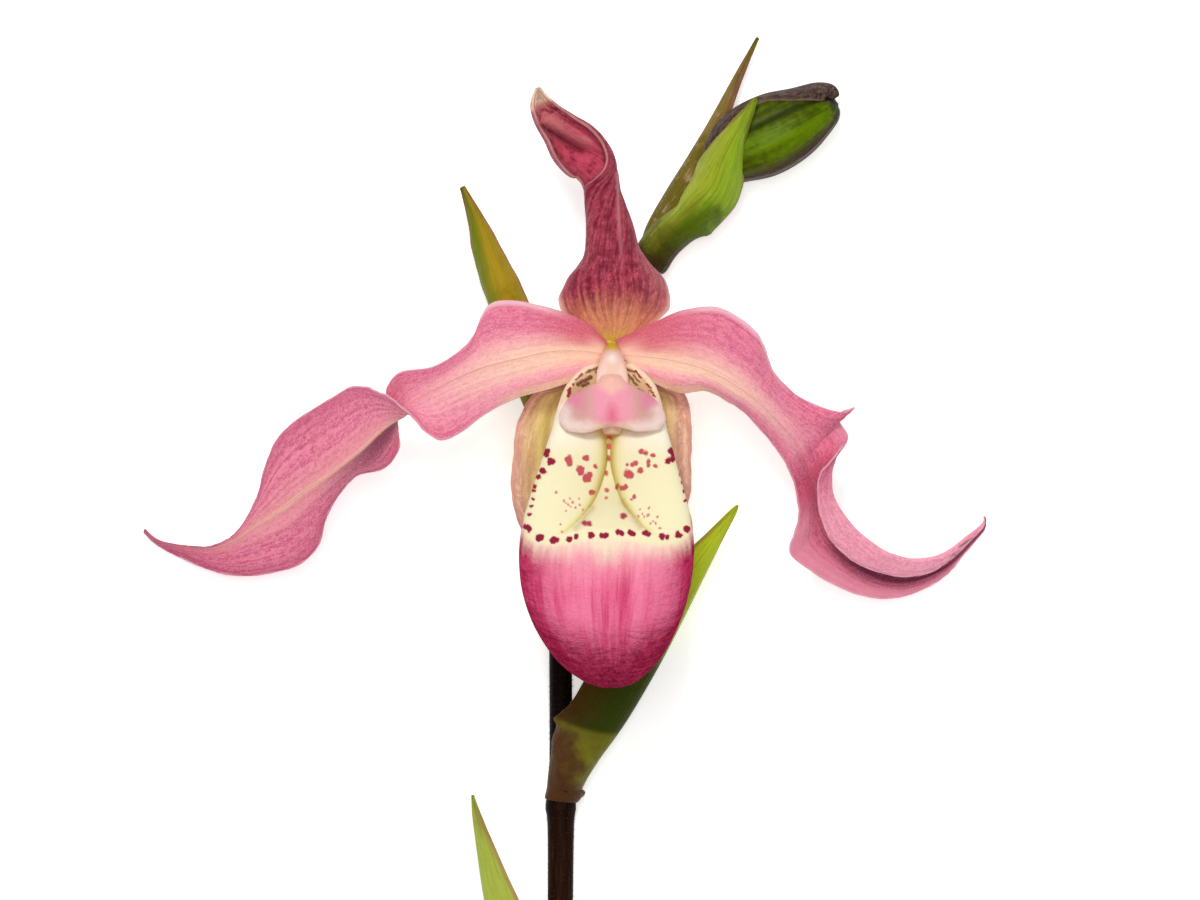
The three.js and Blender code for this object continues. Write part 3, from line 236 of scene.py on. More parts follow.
FLOWER_BRACT = (
    (-0.4, -1.6, 2.7, 2.45, 6.8, 158, -75, 1.0),
    (-0.2, 1.0, 2.8, 2.6, 7.2, 150, -72, 1.1),
    (-3.6, 6.4, 4.8, 0, 7.2, 116, -60, 1.8),
    (-5.8, 12.6, 6.5, 0, 6.8, 96, -46, 2.4),
    (-7.7, 19.5, 8.0, 0, 6.0, 82, -32, 2.6),
    (-9.4, 25.9, 9.2, 0, 4.8, 70, -22, 2.6),
    (-10.8, 31.2, 10.0, 0, 3.4, 60, -12, 2.4),
    (-12.4, 36.8, 10.6, 0, 1.7, 50, -4, 2.2),
    (-14.2, 41.4, 11.0, 0, 0.6, 40, 0, 1.6),
    (-14.7, 42.5, 11.1, 0, 0.4, 30, 0, 1.4),
)

TIP_BRACT = (
    (12.6, 29.6, 3.0, 2.1, 5.6, 150, -90, 1.0),
    (13.7, 31.8, 3.1, 2.1, 5.8, 142, -90, 1.1),
    (13.4, 37.0, 3.2, 0, 5.6, 112, -88, 1.8),
    (16.2, 41.9, 3.4, 0, 5.2, 92, -84, 2.3),
    (19.4, 46.9, 3.6, 0, 4.4, 80, -78, 2.4),
    (22.3, 51.6, 3.8, 0, 3.0, 72, -72, 2.4),
    (25.0, 56.4, 4.0, 0, 1.7, 64, -68, 2.2),
    (27.6, 61.2, 4.2, 0, 0.8, 56, -64, 1.8),
    (29.7, 65.1, 4.4, 0, 0.3, 46, -60, 1.4),
)

BUD_BRACT = (
    (13.2, 31.0, 3.2, 2.7, 6.0, 128, 8, 1.1),
    (14.8, 33.4, 3.8, 3.3, 6.4, 120, -4, 1.3),
    (17.4, 36.9, 9.0, 0, 6.4, 93, -24, 1.9),
    (20.1, 39.7, 10.4, 0, 6.5, 78, -13, 2.2),
    (22.7, 42.5, 11.6, 0, 6.1, 66, -6, 2.4),
    (24.3, 46.0, 12.8, 0, 4.3, 58, -4, 2.4),
    (26.2, 50.2, 13.7, 0, 2.3, 50, 0, 2.2),
    (28.5, 54.2, 14.0, 0, 0.8, 40, 0, 1.8),
    (29.4, 55.8, 14.1, 0, 0.25, 30, 0, 1.4),
)

BUD_CAP = (
    (21.9, 48.4, 7.2, 0, 3.0, 60, -90, 1),
    (23.4, 51.6, 7.2, 0, 3.9, 50, -90, 1),
    (26.5, 54.3, 7.2, 0, 3.6, 35, -90, 1),
    (30.5, 56.2, 7.2, 0, 3.3, 31, -90, 1),
    (34.7, 57.1, 7.3, 0, 4.4, 43, -90, 1),
    (38.5, 58.0, 7.4, 0, 4.8, 65, -90, 1),
    (40.9, 57.7, 7.6, 0, 3.7, 84, -90, 1),
    (41.9, 56.4, 7.7, 0, 1.7, 90, -90, 1),
)

# Round pieces: x, y, z, half across, half deep of each section.
STEM = (
    (0.0, -129.0, 2.1, 2.05, 2.05),
    (-0.2, -112.0, 2.6, 2.0, 2.0),
    (-0.3, -95.0, 3.1, 2.0, 2.0),
    (-0.3, -91.2, 3.1, 2.25, 2.25),
    (-0.2, -87.0, 3.1, 1.85, 1.85),
    (0.0, -68.0, 3.1, 1.9, 1.9),
    (0.1, -54.0, 3.1, 2.0, 2.0),
    (0.1, -50.6, 3.1, 2.3, 2.3),
    (0.1, -46.0, 3.1, 1.75, 1.75),
    (0.1, -31.0, 3.0, 1.72, 1.72),
    (-0.1, -14.0, 2.8, 1.72, 1.72),
    (-0.3, -3.0, 2.7, 1.9, 1.9),
    (0.8, 3.0, 2.7, 1.6, 1.6),
    (6.0, 14.6, 2.8, 1.45, 1.45),
    (12.4, 29.0, 3.0, 1.5, 1.5),
    (14.6, 33.5, 3.2, 1.15, 1.15),
    (18.0, 41.0, 3.4, 1.0, 1.0),
    (21.2, 47.6, 3.6, 0.8, 0.8),
)

OVARY = (
    (1.6, 1.2, 5.3, 1.0, 1.0),
    (2.6, 5.0, 6.8, 1.35, 1.35),
    (3.6, 9.5, 8.2, 1.6, 1.6),
    (4.8, 14.5, 9.8, 1.85, 1.85),
    (6.0, 19.4, 12.0, 2.0, 2.0),
    (7.2, 22.0, 15.4, 2.05, 2.05),
    (FLOWER_AXIS_X, 21.2, 19.6, 2.2, 2.2),
    (FLOWER_AXIS_X, 19.0, 22.6, 2.7, 2.7),
    (FLOWER_AXIS_X, 18.0, 24.6, 2.9, 2.9),
)

COLUMN = (
    (FLOWER_AXIS_X, 17.6, 25.0, 1.3, 1.6),
    (FLOWER_AXIS_X, 17.2, 27.6, 1.4, 1.6),
    (FLOWER_AXIS_X, 15.8, 30.6, 1.7, 1.7),
    (FLOWER_AXIS_X, 13.2, 32.8, 2.2, 1.6),
    (FLOWER_AXIS_X, 10.2, 34.0, 2.3, 1.4),
    (FLOWER_AXIS_X, 7.4, 34.7, 1.9, 1.2),
    (FLOWER_AXIS_X, 5.5, 35.2, 1.3, 0.7),
)

BUD_STALK = (
    (14.6, 33.6, 5.3, 0.9, 0.9),
    (17.4, 36.6, 6.2, 1.25, 1.25),
    (20.6, 39.2, 6.8, 1.5, 1.5),
    (23.6, 41.6, 7.1, 1.6, 1.6),
    (25.8, 44.0, 7.2, 1.6, 1.6),
    (27.0, 46.0, 7.3, 1.5, 1.5),
)

BUD_BODY = (
    (22.6, 45.2, 7.2, 1.5, 1.6),
    (23.9, 46.1, 7.2, 3.4, 3.4),
    (26.6, 47.6, 7.2, 4.6, 4.7),
    (30.0, 49.35, 7.2, 5.55, 5.5),
    (33.6, 51.25, 7.3, 5.5, 5.5),
    (37.1, 53.2, 7.4, 4.65, 4.7),
    (40.1, 54.7, 7.6, 3.0, 3.1),
    (41.1, 55.5, 7.7, 1.2, 1.4),
)

SHIELD = (
    ((6.0, 14.0, 35.3), (6.8, 14.1, 35.9), (7.7, 14.2, 36.2), (8.6, 14.1, 35.9), (9.4, 14.0, 35.3)),
    ((5.6, 12.8, 35.4), (6.6, 13.0, 36.6), (7.7, 13.1, 37.1), (8.8, 13.0, 36.6), (9.9, 12.8, 35.4)),
    ((2.2, 11.2, 36.0), (5.0, 11.2, 37.3), (7.7, 11.3, 37.9), (10.6, 11.1, 37.3), (13.6, 10.9, 36.0)),
    ((0.5, 9.4, 36.2), (4.2, 9.3, 38.1), (7.8, 9.6, 38.4), (11.6, 9.3, 38.1), (15.1, 9.3, 36.2)),
    ((0.0, 7.6, 36.4), (3.9, 7.4, 38.6), (7.8, 8.0, 38.2), (11.8, 7.4, 38.6), (15.7, 7.6, 36.4)),
    ((1.0, 6.0, 36.8), (3.9, 5.7, 38.2), (7.7, 6.7, 37.4), (11.6, 5.9, 38.2), (14.8, 6.1, 36.8)),
)

LIP_AXIS_Y = (18.0, 6.0, -9.0, -18.0, -26.0, -32.6)
LIP_AXIS_X = (7.8, 7.4, 7.05, 6.85, 6.95, 7.7)
TOE = (0.0, -32.2, 31.0)

# Half of the lip's ribs, from the middle of the back to the middle of the front: the lobe's
# free edge, its top near that edge, halfway, the crest of the rim, and the two handles.
LIP_RIBS = (
    ((0, 13.4, 25.6), (0, 13.8, 26.0), (0, 14.2, 26.3), (0, 14.7, 26.4), (0, -12, -7), (0, -12)),
    ((1.5, 13.3, 25.2), (2.0, 14.0, 26.1), (2.5, 14.7, 27.0), (2.9, 15.3, 27.5), (2.0, -12, -8), (3.2, -11.5)),
    ((4.8, 10.2, 27.6), (5.4, 10.8, 29.0), (6.0, 11.4, 30.2), (6.5, 11.9, 30.7), (2.9, -13, -10), (5.6, -9.5)),
    ((1.3, 6.3, 31.4), (2.4, 6.2, 33.2), (5.3, 6.0, 34.6), (8.1, 5.7, 34.3), (3.5, -10, -11), (7.2, -6)),
    ((0.45, 1.6, 33.4), (1.9, 1.5, 36.0), (6.3, 0.2, 38.9), (10.1, -1.2, 39.2), (3.7, -9, -9), (8.2, -3)),
    ((1.7, -3.2, 36.9), (3.2, -3.9, 39.5), (7.7, -5.2, 42.4), (11.5, -6.8, 42.7), (3.7, -8, -6.5), (8.5, 1.5)),
    ((3.5, -6.6, 40.0), (5.0, -7.2, 42.2), (8.4, -8.4, 44.2), (11.0, -9.7, 44.2), (3.2, -8, -2.5), (7.7, 6)),
    ((5.4, -8.6, 42.6), (5.9, -9.2, 43.7), (6.8, -9.8, 44.6), (7.6, -10.5, 45.0), (1.5, -8, 0.8), (5.0, 9.5)),
    ((1.5, 0.4, 32.6), (2.6, -4.8, 37.6), (3.2, -8.4, 43.6), (3.4, -9.9, 45.0), (0.6, -8, 2), (2.3, 11.5)),
    ((0, 5.0, 30.6), (0, -2.4, 35.6), (0, -8.2, 43.4), (0, -9.6, 45.0), (0, -8, 2.4), (0, 12)),
)
LIP_BODY_STEPS = (0.14, 0.32, 0.5, 0.68, 0.84, 0.95)
CREST_STEP = 3  # steps along a rib from the lobe's edge to the crest of the rim

# ------------------------------------------------------------------ curves and grids


def through(rows, places, closed=False):
    """Rows of numbers, read at places counted in rows, on a smooth curve through them all."""
    rows = np.asarray(rows, float)
    places = np.asarray(places, float)
    count = len(rows)
    first = np.floor(places).astype(int)
    if not closed:
        first = np.clip(first, 0, count - 2)
    t = (places - first).reshape((-1,) + (1,) * (rows.ndim - 1))

    def pick(k):
        return rows[k % count] if closed else rows[np.clip(k, 0, count - 1)]

    a, b, c, d = pick(first - 1), pick(first), pick(first + 1), pick(first + 2)
    return 0.5 * (2 * b + t * (c - a + t * (2 * a - 5 * b + 4 * c - d + t * (3 * b - a - 3 * c + d))))


def smooth(low, high, value):
    """0 below low, 1 above high, and a soft step between."""
    t = np.clip((value - low) / (high - low), 0, 1)
    return t * t * (3 - 2 * t)


def unit(vectors):
    length = np.linalg.norm(vectors, axis=-1, keepdims=True)
    return vectors / np.maximum(length, 1e-9)


def net_grid(rows, long_steps, wide_steps):
    rows = np.asarray(rows, float)
    lengthwise = through(rows, np.linspace(0, len(rows) - 1, long_steps + 1))
    across = through(lengthwise.swapaxes(0, 1), np.linspace(0, rows.shape[1] - 1, wide_steps + 1))
    return across.swapaxes(0, 1)


def section(half_width, bend, sharpness, steps):
    """How far across and how deep half a section has gone at each step from the midrib."""
    fine = 8
    part = (np.arange(steps * fine) + 0.5) / (steps * fine)
    heading = bend * (1 - (1 - part) ** sharpness)
    stride = half_width / (steps * fine)
    across = np.concatenate([[0], np.cumsum(np.cos(heading) * stride)])[::fine]
    depth = np.concatenate([[0], np.cumsum(np.sin(heading) * stride)])[::fine]
    return across, depth


def rolled_grid(stations, long_steps, half_steps):
    last = len(stations) - 1
    places = np.linspace(0, last, long_steps + 1)
    rows = through(stations, places)
    ahead = through(stations, np.minimum(places + 0.2, last))[:, :3]
    behind = through(stations, np.maximum(places - 0.2, 0))[:, :3]
    along = unit(ahead - behind)
    up = unit(np.array((0, 0, 1.0)) - along * along[:, 2:3])
    right = np.cross(along, up)
    grid = np.empty((long_steps + 1, 2 * half_steps + 1, 3))
    for i, (x, y, z, inset, half_width, turn, roll, sharpness) in enumerate(rows):
        angle = math.radians(roll)
        outward = math.cos(angle) * up[i] + math.sin(angle) * right[i]
        sideways = np.cross(along[i], outward)
        across, depth = section(half_width, math.radians(turn), sharpness, half_steps)
        across = np.concatenate([-across[:0:-1], across])
        depth = np.concatenate([depth[:0:-1], depth])
        midrib = np.array((x, y, z)) + inset * outward
        grid[i] = midrib + np.outer(across, sideways) - np.outer(depth, outward)
    return grid


def lip_axis(y):
    return np.interp(-np.asarray(y, float), [-v for v in LIP_AXIS_Y], LIP_AXIS_X)


def lip_rib(rib, side):
    """One rib's points from the lobe's edge over the crest to just short of the toe."""
    *lobe, crest, swell, sweep = rib
    crest = np.array(crest, float)
    toe = np.array(TOE)
    handle = crest + swell
    landing = toe + (sweep[0], 0, sweep[1])
    body = [
        (1 - t) ** 3 * crest + 3 * t * (1 - t) ** 2 * handle + 3 * t * t * (1 - t) * landing + t**3 * toe
        for t in LIP_BODY_STEPS
    ]
    points = np.array([*lobe, crest, *body], float)
    points[:, 0] = lip_axis(points[:, 1]) + side * points[:, 0]
    return points


def lip_grid(round_steps, rib_steps):
    ribs = [lip_rib(rib, -1) for rib in LIP_RIBS] + [lip_rib(rib, 1) for rib in LIP_RIBS[-2:0:-1]]
    ribs = np.array(ribs)
    columns = through(ribs, np.arange(round_steps) * len(ribs) / round_steps, closed=True)
    rows = through(columns.swapaxes(0, 1), np.linspace(0, ribs.shape[1] - 1, rib_steps + 1))
    return rows


# ------------------------------------------------------------------ meshes


def slopes(grid, closed):
    """The steps lengthwise and crosswise at every point of a grid."""
    lengthwise = np.gradient(grid, axis=0)
    if closed:
        crosswise = np.roll(grid, -1, axis=1) - np.roll(grid, 1, axis=1)
    else:
        crosswise = np.gradient(grid, axis=1)
    return lengthwise, crosswise


def walk(grid, axis):
    """The distance gone along one axis of a grid, in millimetres."""
    steps = np.linalg.norm(np.diff(grid, axis=axis), axis=-1)
    start = np.zeros_like(np.take(steps, [0], axis=axis))
    return np.cumsum(np.concatenate([start, steps], axis=axis), axis=axis)


def grid_quads(rows, columns, closed=False, start=0, flip=False):
    wide = columns if closed else columns - 1
    i, j = np.meshgrid(np.arange(rows - 1), np.arange(wide), indexing="ij")
    here, beyond = i * columns, (i + 1) * columns
    after = (j + 1) % columns
    quads = np.stack([here + j, beyond + j, beyond + after, here + after], axis=-1)
    quads = quads.reshape(-1, 4) + start
    return quads[:, ::-1] if flip else quads


def add_numbers(mesh, key, numbers):
    layer = mesh.attributes.new(key, "FLOAT", "POINT")
    layer.data.foreach_set("value", numbers.ravel().astype(np.float32))


def read_numbers(mesh, key):
    numbers = np.empty(len(mesh.vertices))
    mesh.attributes[key].data.foreach_get("value", numbers)
    return numbers


def make_mesh(name, points, quads, triangles, values):
    """A smooth-shaded mesh from points in millimetres, with a named number for every point."""
    mesh = bpy.data.meshes.new(name)
    faces = np.concatenate([quads.ravel(), triangles.ravel()]).astype(np.int32)
    sizes = np.concatenate([np.full(len(quads), 4), np.full(len(triangles), 3)]).astype(np.int32)
    mesh.vertices.add(len(points))
    mesh.vertices.foreach_set("co", (points * MM).ravel().astype(np.float32))
    mesh.loops.add(len(faces))
    mesh.loops.foreach_set("vertex_index", faces)
    mesh.polygons.add(len(sizes))
    mesh.polygons.foreach_set("loop_start", np.concatenate([[0], np.cumsum(sizes)[:-1]]).astype(np.int32))
    mesh.polygons.foreach_set("use_smooth", np.ones(len(sizes), bool))
    mesh.update(calc_edges=True)
    mesh.validate()
    for key, numbers in values.items():
        add_numbers(mesh, key, numbers)
    return mesh


class Blade:
    """A sheet about a grid of points: two faces, rounded margins, and numbers for its paint.

    It is half thick to either side, and thins to the share thin of that over its outer
    soft millimetres. A closed one has no side margins, and a capped one has its end shut.
    The relief lifts the front, and the back by its share back_relief.
    """

    def __init__(self, grid, half, relief, thin, soft, closed=False, capped=False, back_relief=0.6):
        self.closed, self.capped = closed, capped
        rows, columns = grid.shape[:2]
        lengthwise, crosswise = slopes(grid, closed)
        normals = unit(np.cross(lengthwise, crosswise))
        length = walk(grid, 0)
        width = walk(grid, 1)
        far = np.minimum(length, length[-1] - length) if not capped else length
        near = far if closed else np.minimum(np.minimum(width, width[:, -1:] - width), far + 0.3)
        depth = half * (thin + (1 - thin) * smooth(0, soft, near))
        self.front = grid + normals * (depth + relief)[..., None]
        self.back = grid - normals * (depth - back_relief * relief)[..., None]
        self.grid, self.depth = grid, depth
        self.out = {"start": -unit(lengthwise[0]), "end": unit(lengthwise[-1])}
        if not closed:
            self.out["left"], self.out["right"] = -unit(crosswise[:, 0]), unit(crosswise[:, -1])
        along = np.repeat(np.linspace(0, 1, rows)[:, None], columns, axis=1)
        across = np.repeat(np.linspace(-1, 1, columns)[None], rows, axis=0)
        self.values = {"along": along, "across": across, "margin": near, "length": length}

    def border(self):
        """The places round the margin, in order, each with its outward direction."""
        rows, columns = self.grid.shape[:2]
        ring = [((0, j), self.out["start"][j]) for j in range(columns)]
        if self.closed:
            return ring
        ring += [((i, columns - 1), self.out["right"][i]) for i in range(1, rows)]
        ring += [((rows - 1, j), self.out["end"][j]) for j in range(columns - 2, -1, -1)]
        ring += [((i, 0), self.out["left"][i]) for i in range(rows - 2, 0, -1)]
        return ring

    def mesh(self, name, extra=None):
        rows, columns = self.grid.shape[:2]
        count = rows * columns
        values = dict(self.values, **(extra or {}))
        ring = self.border()
        ring_places = np.array([i * columns + j for (i, j), _ in ring])
        bulge = np.array([self.grid[i, j] + out * self.depth[i, j] * 0.7 for (i, j), out in ring])
        points = np.concatenate([self.front.reshape(-1, 3), self.back.reshape(-1, 3), bulge])
        quads = [
            grid_quads(rows, columns, self.closed),
            grid_quads(rows, columns, self.closed, start=count, flip=True),
        ]
        rim = 2 * count + np.arange(len(ring))
        nxt, nxt_rim = np.roll(ring_places, -1), np.roll(rim, -1)
        quads.append(np.stack([ring_places, nxt, nxt_rim, rim], axis=-1))
        quads.append(np.stack([rim, nxt_rim, nxt + count, ring_places + count], axis=-1))
        triangles = np.empty((0, 3), int)
        numbers = {}
        for key, v in values.items():
            numbers[key] = np.concatenate([v.ravel(), v.ravel(), v.ravel()[ring_places]])
        side = np.concatenate([np.ones(count), np.zeros(count), np.full(len(ring), 0.5)])
        numbers["front"] = side
        if self.capped:
            base = (rows - 1) * columns + np.arange(columns)
            tips = len(points) + np.arange(2)
            centre = np.stack([self.front[-1].mean(axis=0), self.back[-1].mean(axis=0)])
            points = np.concatenate([points, centre])
            turn = np.roll(base, -1)
            top = np.stack([base, np.full(columns, tips[0]), turn], axis=-1)
            low = np.stack([base + count, turn + count, np.full(columns, tips[1])], axis=-1)
            triangles = np.concatenate([top, low])
            for key, v in values.items():
                numbers[key] = np.concatenate([numbers[key], [v[-1].mean()] * 2])
            numbers["front"] = np.concatenate([side, [1, 0]])
        return make_mesh(name, points, np.concatenate(quads), triangles, numbers)

    def margins(self, spacing):
        """Points along the side margins, one every spacing millimetres, with outward directions."""
        places, outs = [], []
        for side, column in (("left", 0), ("right", -1)):
            line, out = self.grid[:, column], self.out[side]
            gone = np.concatenate([[0], np.cumsum(np.linalg.norm(np.diff(line, axis=0), axis=-1))])
            stops = np.arange(spacing, gone[-1], spacing)
            places.append(np.stack([np.interp(stops, gone, line[:, k]) for k in range(3)], axis=-1))
            outs.append(np.stack([np.interp(stops, gone, out[:, k]) for k in range(3)], axis=-1))
        return np.concatenate(places), unit(np.concatenate(outs))


def tube_mesh(name, stations, steps, sides, swell, sideways=(1.0, 0, 0)):
    """A solid of oval section along a line, with its ends closed by rounded caps.

    Swell gives the share of its size at a part of its length, for each angle round it.
    """
    last = len(stations) - 1
    places = np.linspace(0, last, steps + 1)
    rows = through(stations, places)
    along = unit(
        through(stations, np.minimum(places + 0.1, last))[:, :3]
        - through(stations, np.maximum(places - 0.1, 0))[:, :3]
    )
    angles = 2 * np.pi * np.arange(sides) / sides
    across = np.array(sideways, float)
    grid = np.empty((steps + 1, sides, 3))
    for i in range(steps + 1):
        across = unit(across - along[i] * np.dot(across, along[i]))
        deep = np.cross(across, along[i])
        size = swell(places[i] / last, angles)
        grid[i] = rows[i, :3] + np.outer(np.cos(angles) * rows[i, 3] * size, across)
        grid[i] += np.outer(np.sin(angles) * rows[i, 4] * size, deep)
    ends = []
    for row, way in ((0, -1), (steps, 1)):
        centre = grid[row].mean(axis=0)
        dome = rows[row, 3:5].min() * 0.35
        ring = centre + (grid[row] - centre) * 0.7 + along[row] * way * dome * 0.75
        ends.append((ring, centre + along[row] * way * dome))
    grid = np.concatenate([ends[0][0][None], grid, ends[1][0][None]])
    points = np.concatenate([grid.reshape(-1, 3), [ends[0][1], ends[1][1]]])
    count = grid.shape[0] * sides
    first, final = np.arange(sides), count - sides + np.arange(sides)
    triangles = np.concatenate([
        np.stack([np.full(sides, count), first, np.roll(first, -1)], axis=-1),
        np.stack([np.full(sides, count + 1), np.roll(final, -1), final], axis=-1),
    ])
    quads = grid_quads(grid.shape[0], sides, closed=True)
    part = np.concatenate([[0], np.linspace(0, 1, steps + 1), [1]])
    length = walk(grid, 0).mean(axis=1)
    numbers = {
        "along": np.concatenate([np.repeat(part, sides), [0, 1]]),
        "length": np.concatenate([np.repeat(length, sides), [0, length[-1]]]),
        "round": np.concatenate([np.tile(angles / (2 * np.pi), len(part)), [0, 0]]),
        "front": np.ones(count + 2),
    }
    mesh = make_mesh(name, points, quads, triangles, numbers)
    if signed_volume(points, quads, triangles) < 0:
        mesh.flip_normals()
    return mesh


def signed_volume(points, quads, triangles):
    faces = np.concatenate([quads[:, [0, 1, 2]], quads[:, [0, 2, 3]], triangles])
    a, b, c = points[faces[:, 0]], points[faces[:, 1]], points[faces[:, 2]]
    return np.einsum("ij,ij->i", a, np.cross(b, c)).sum()


# ------------------------------------------------------------------ paint


def tone(code):
    """A linear colour from a six-figure code."""
    parts = [int(code[k : k + 2], 16) / 255 for k in (0, 2, 4)]
    linear = [v / 12.92 if v <= 0.04045 else ((v + 0.055) / 1.055) ** 2.4 for v in parts]
    return (*linear, 1.0)


MIX_SOCKETS = (0, 6, 7)  # factor and the two colours, among a Mix node's inputs
MIX_RESULT = 2


class Value:
    """A socket that can be added, multiplied and so on, as a number can."""

    def __init__(self, paint, socket):
        self.paint, self.socket = paint, socket

    def __add__(self, other):
        return self.paint.math("ADD", self, other)

    def __sub__(self, other):
        return self.paint.math("SUBTRACT", self, other)

    def __rsub__(self, other):
        return self.paint.math("SUBTRACT", other, self)

    def __mul__(self, other):
        return self.paint.math("MULTIPLY", self, other)

    def __abs__(self):
        return self.paint.math("ABSOLUTE", self)

    __radd__ = __add__
    __rmul__ = __mul__


class Paint:
    """One material, built node by node."""

    def __init__(self, name):
        self.material = bpy.data.materials.new(name)
        self.material.use_nodes = True
        self.tree = self.material.node_tree
        self.tree.nodes.clear()

    def node(self, kind, settings=None, values=None):
        """Adds a node, makes its settings, then fills its sockets by name or number."""
        node = self.tree.nodes.new("ShaderNode" + kind)
        for key, setting in (settings or {}).items():
            setattr(node, key, setting)
        for key, value in (values or {}).items():
            socket = node.inputs[key]
            if isinstance(value, Value):
                self.tree.links.new(value.socket, socket)
            else:
                socket.default_value = value
        return node

    def value(self, node, output=0):
        return Value(self, node.outputs[output])

    def math(self, operation, *numbers):
        return self.value(self.node("Math", {"operation": operation}, dict(enumerate(numbers))))

    def attribute(self, name):
        return self.value(self.node("Attribute", {"attribute_name": name}), "Fac")

    def attributes(self, *names):
        return [self.attribute(name) for name in names]

    def place(self):
        """Object coordinates, in millimetres."""
        here = self.value(self.node("TexCoord"), "Object")
        scale = {0: here, "Scale": 1 / MM}
        return self.value(self.node("VectorMath", {"operation": "SCALE"}, scale))

    def parts(self, vector):
        node = self.node("SeparateXYZ", None, {0: vector})
        return [self.value(node, k) for k in range(3)]

    def join(self, x, y):
        return self.value(self.node("CombineXYZ", None, {0: x, 1: y}))

    def noise(self, vector, scale=1.0, detail=3.0, roughness=0.55, warp=0.0):
        values = {"Vector": vector, "Scale": scale, "Detail": detail, "Roughness": roughness}
        values["Distortion"] = warp
        return self.value(self.node("TexNoise", None, values))

    def cells(self, vector, scale=1.0, feature="F1"):
        values = {"Vector": vector, "Scale": scale}
        return self.value(self.node("TexVoronoi", {"feature": feature}, values), "Distance")

    def step(self, value, low, high, start=0.0, end=1.0):
        """A soft step from start at low to end at high."""
        values = {0: value, 1: low, 2: high, 3: start, 4: end}
        return self.value(self.node("MapRange", {"interpolation_type": "SMOOTHSTEP"}, values))

    def fade(self, value, low, high):
        """A soft step from 1 at low to 0 at high."""
        return self.step(value, low, high, 1.0, 0.0)

    def mix(self, first, second, factor):
        """A mix of two colours, each a value or a six-figure code."""
        colours = [tone(colour) if isinstance(colour, str) else colour for colour in (first, second)]
        values = dict(zip(MIX_SOCKETS, (factor, *colours)))
        node = self.node("Mix", {"data_type": "RGBA", "clamp_factor": True}, values)
        return self.value(node, MIX_RESULT)

    def dots(self, vector, marks, soft=0.25, grow=0.0):
        """A mask that is 1 inside round marks, each (x, y, radius), made wider by grow."""
        nearest = None
        for x, y, radius in marks:
            node = self.node("VectorMath", {"operation": "DISTANCE"}, {0: vector, 1: (x, y, 0)})
            gap = self.value(node, "Value") - (radius + grow)
            nearest = gap if nearest is None else self.math("MINIMUM", nearest, gap)
        return self.fade(nearest, -soft, soft)

    def bump(self, height, depth, below=None):
        """A Bump node for a height, with its depth in millimetres."""
        values = {"Height": height, "Distance": depth * MM, "Strength": 1.0}
        if below is not None:
            values["Normal"] = below
        return self.value(self.node("Bump", None, values))

    def finish(self, colour, roughness, normal=None, **constants):
        values = {"Base Color": colour, "Roughness": roughness}
        values.update({key.replace("_", " "): value for key, value in constants.items()})
        if normal is not None:
            values["Normal"] = normal
        shader = self.node("BsdfPrincipled", None, values)
        out = self.node("OutputMaterial")
        self.tree.links.new(shader.outputs[0], out.inputs[0])
        return self.material


FLESH = {"Subsurface_Weight": 0.10, "Subsurface_Scale": 0.0012, "Specular_IOR_Level": 0.06}
LEAF = {"Subsurface_Weight": 0.03, "Subsurface_Scale": 0.0008, "Specular_IOR_Level": 0.05}


def petal_front(paint, along, across, dark, grain):
    """The side that faces the lip: peach by the midrib, vivid pink toward its margins."""
    off = abs(across)
    colour = paint.mix("f2a4b4", "e2809a", dark)
    upper = paint.step(across, 0.0, 0.8)
    lower = paint.fade(across, -0.95, -0.25) * paint.step(along, 0.12, 0.24)
    vivid = paint.mix("e47a95", "c25079", dark)
    colour = paint.mix(colour, vivid, paint.math("MAXIMUM", upper * 0.82, lower * 0.74))
    far = paint.step(along, 0.28, 0.46)
    colour = paint.mix(colour, paint.mix("de6f8e", "b54367", dark), far * 0.8)
    centre = abs(across + 0.08)
    glow = paint.fade(along, 0.05, 0.33) * paint.fade(centre, 0.1, 0.58)
    glow = glow * (1.0 - lower * 0.8)
    colour = paint.mix(colour, paint.mix("f5d3b6", "f0bfa9", dark), glow * 0.95)
    throat = paint.fade(along, 0.02, 0.13) * paint.step(across, 0.0, 0.35)
    colour = paint.mix(colour, "cc5a64", throat * 0.75)
    colour = paint.mix(colour, "f6cbb6", paint.fade(along, 0.012, 0.05) * paint.step(across, 0.9, 0.1))
    neck = paint.step(along, 0.46, 0.52) * paint.step(along, 0.64, 0.56)
    colour = paint.mix(colour, "bc3c5c", neck * 0.45)
    belly = paint.fade(across, -0.8, -0.3) * paint.step(along, 0.56, 0.64)
    colour = paint.mix(colour, "ee98ae", belly * 0.75)
    ruffle = paint.step(across, 0.5, 0.9) * paint.step(along, 0.38, 0.42) * paint.step(along, 0.54, 0.5)
    colour = paint.mix(colour, "f4a4b8", ruffle * 0.5)
    fringe = paint.fade(across, -0.95, -0.5) * paint.fade(along, 0.1, 0.18)
    colour = paint.mix(colour, paint.mix("ead0a6", "c89a6e", grain), fringe * 0.85)
    vein = paint.fade(off, 0.004, 0.02)
    return paint.mix(colour, "c9845f", vein * paint.step(along, 0.3, 0.5, 0.6, 0.25))


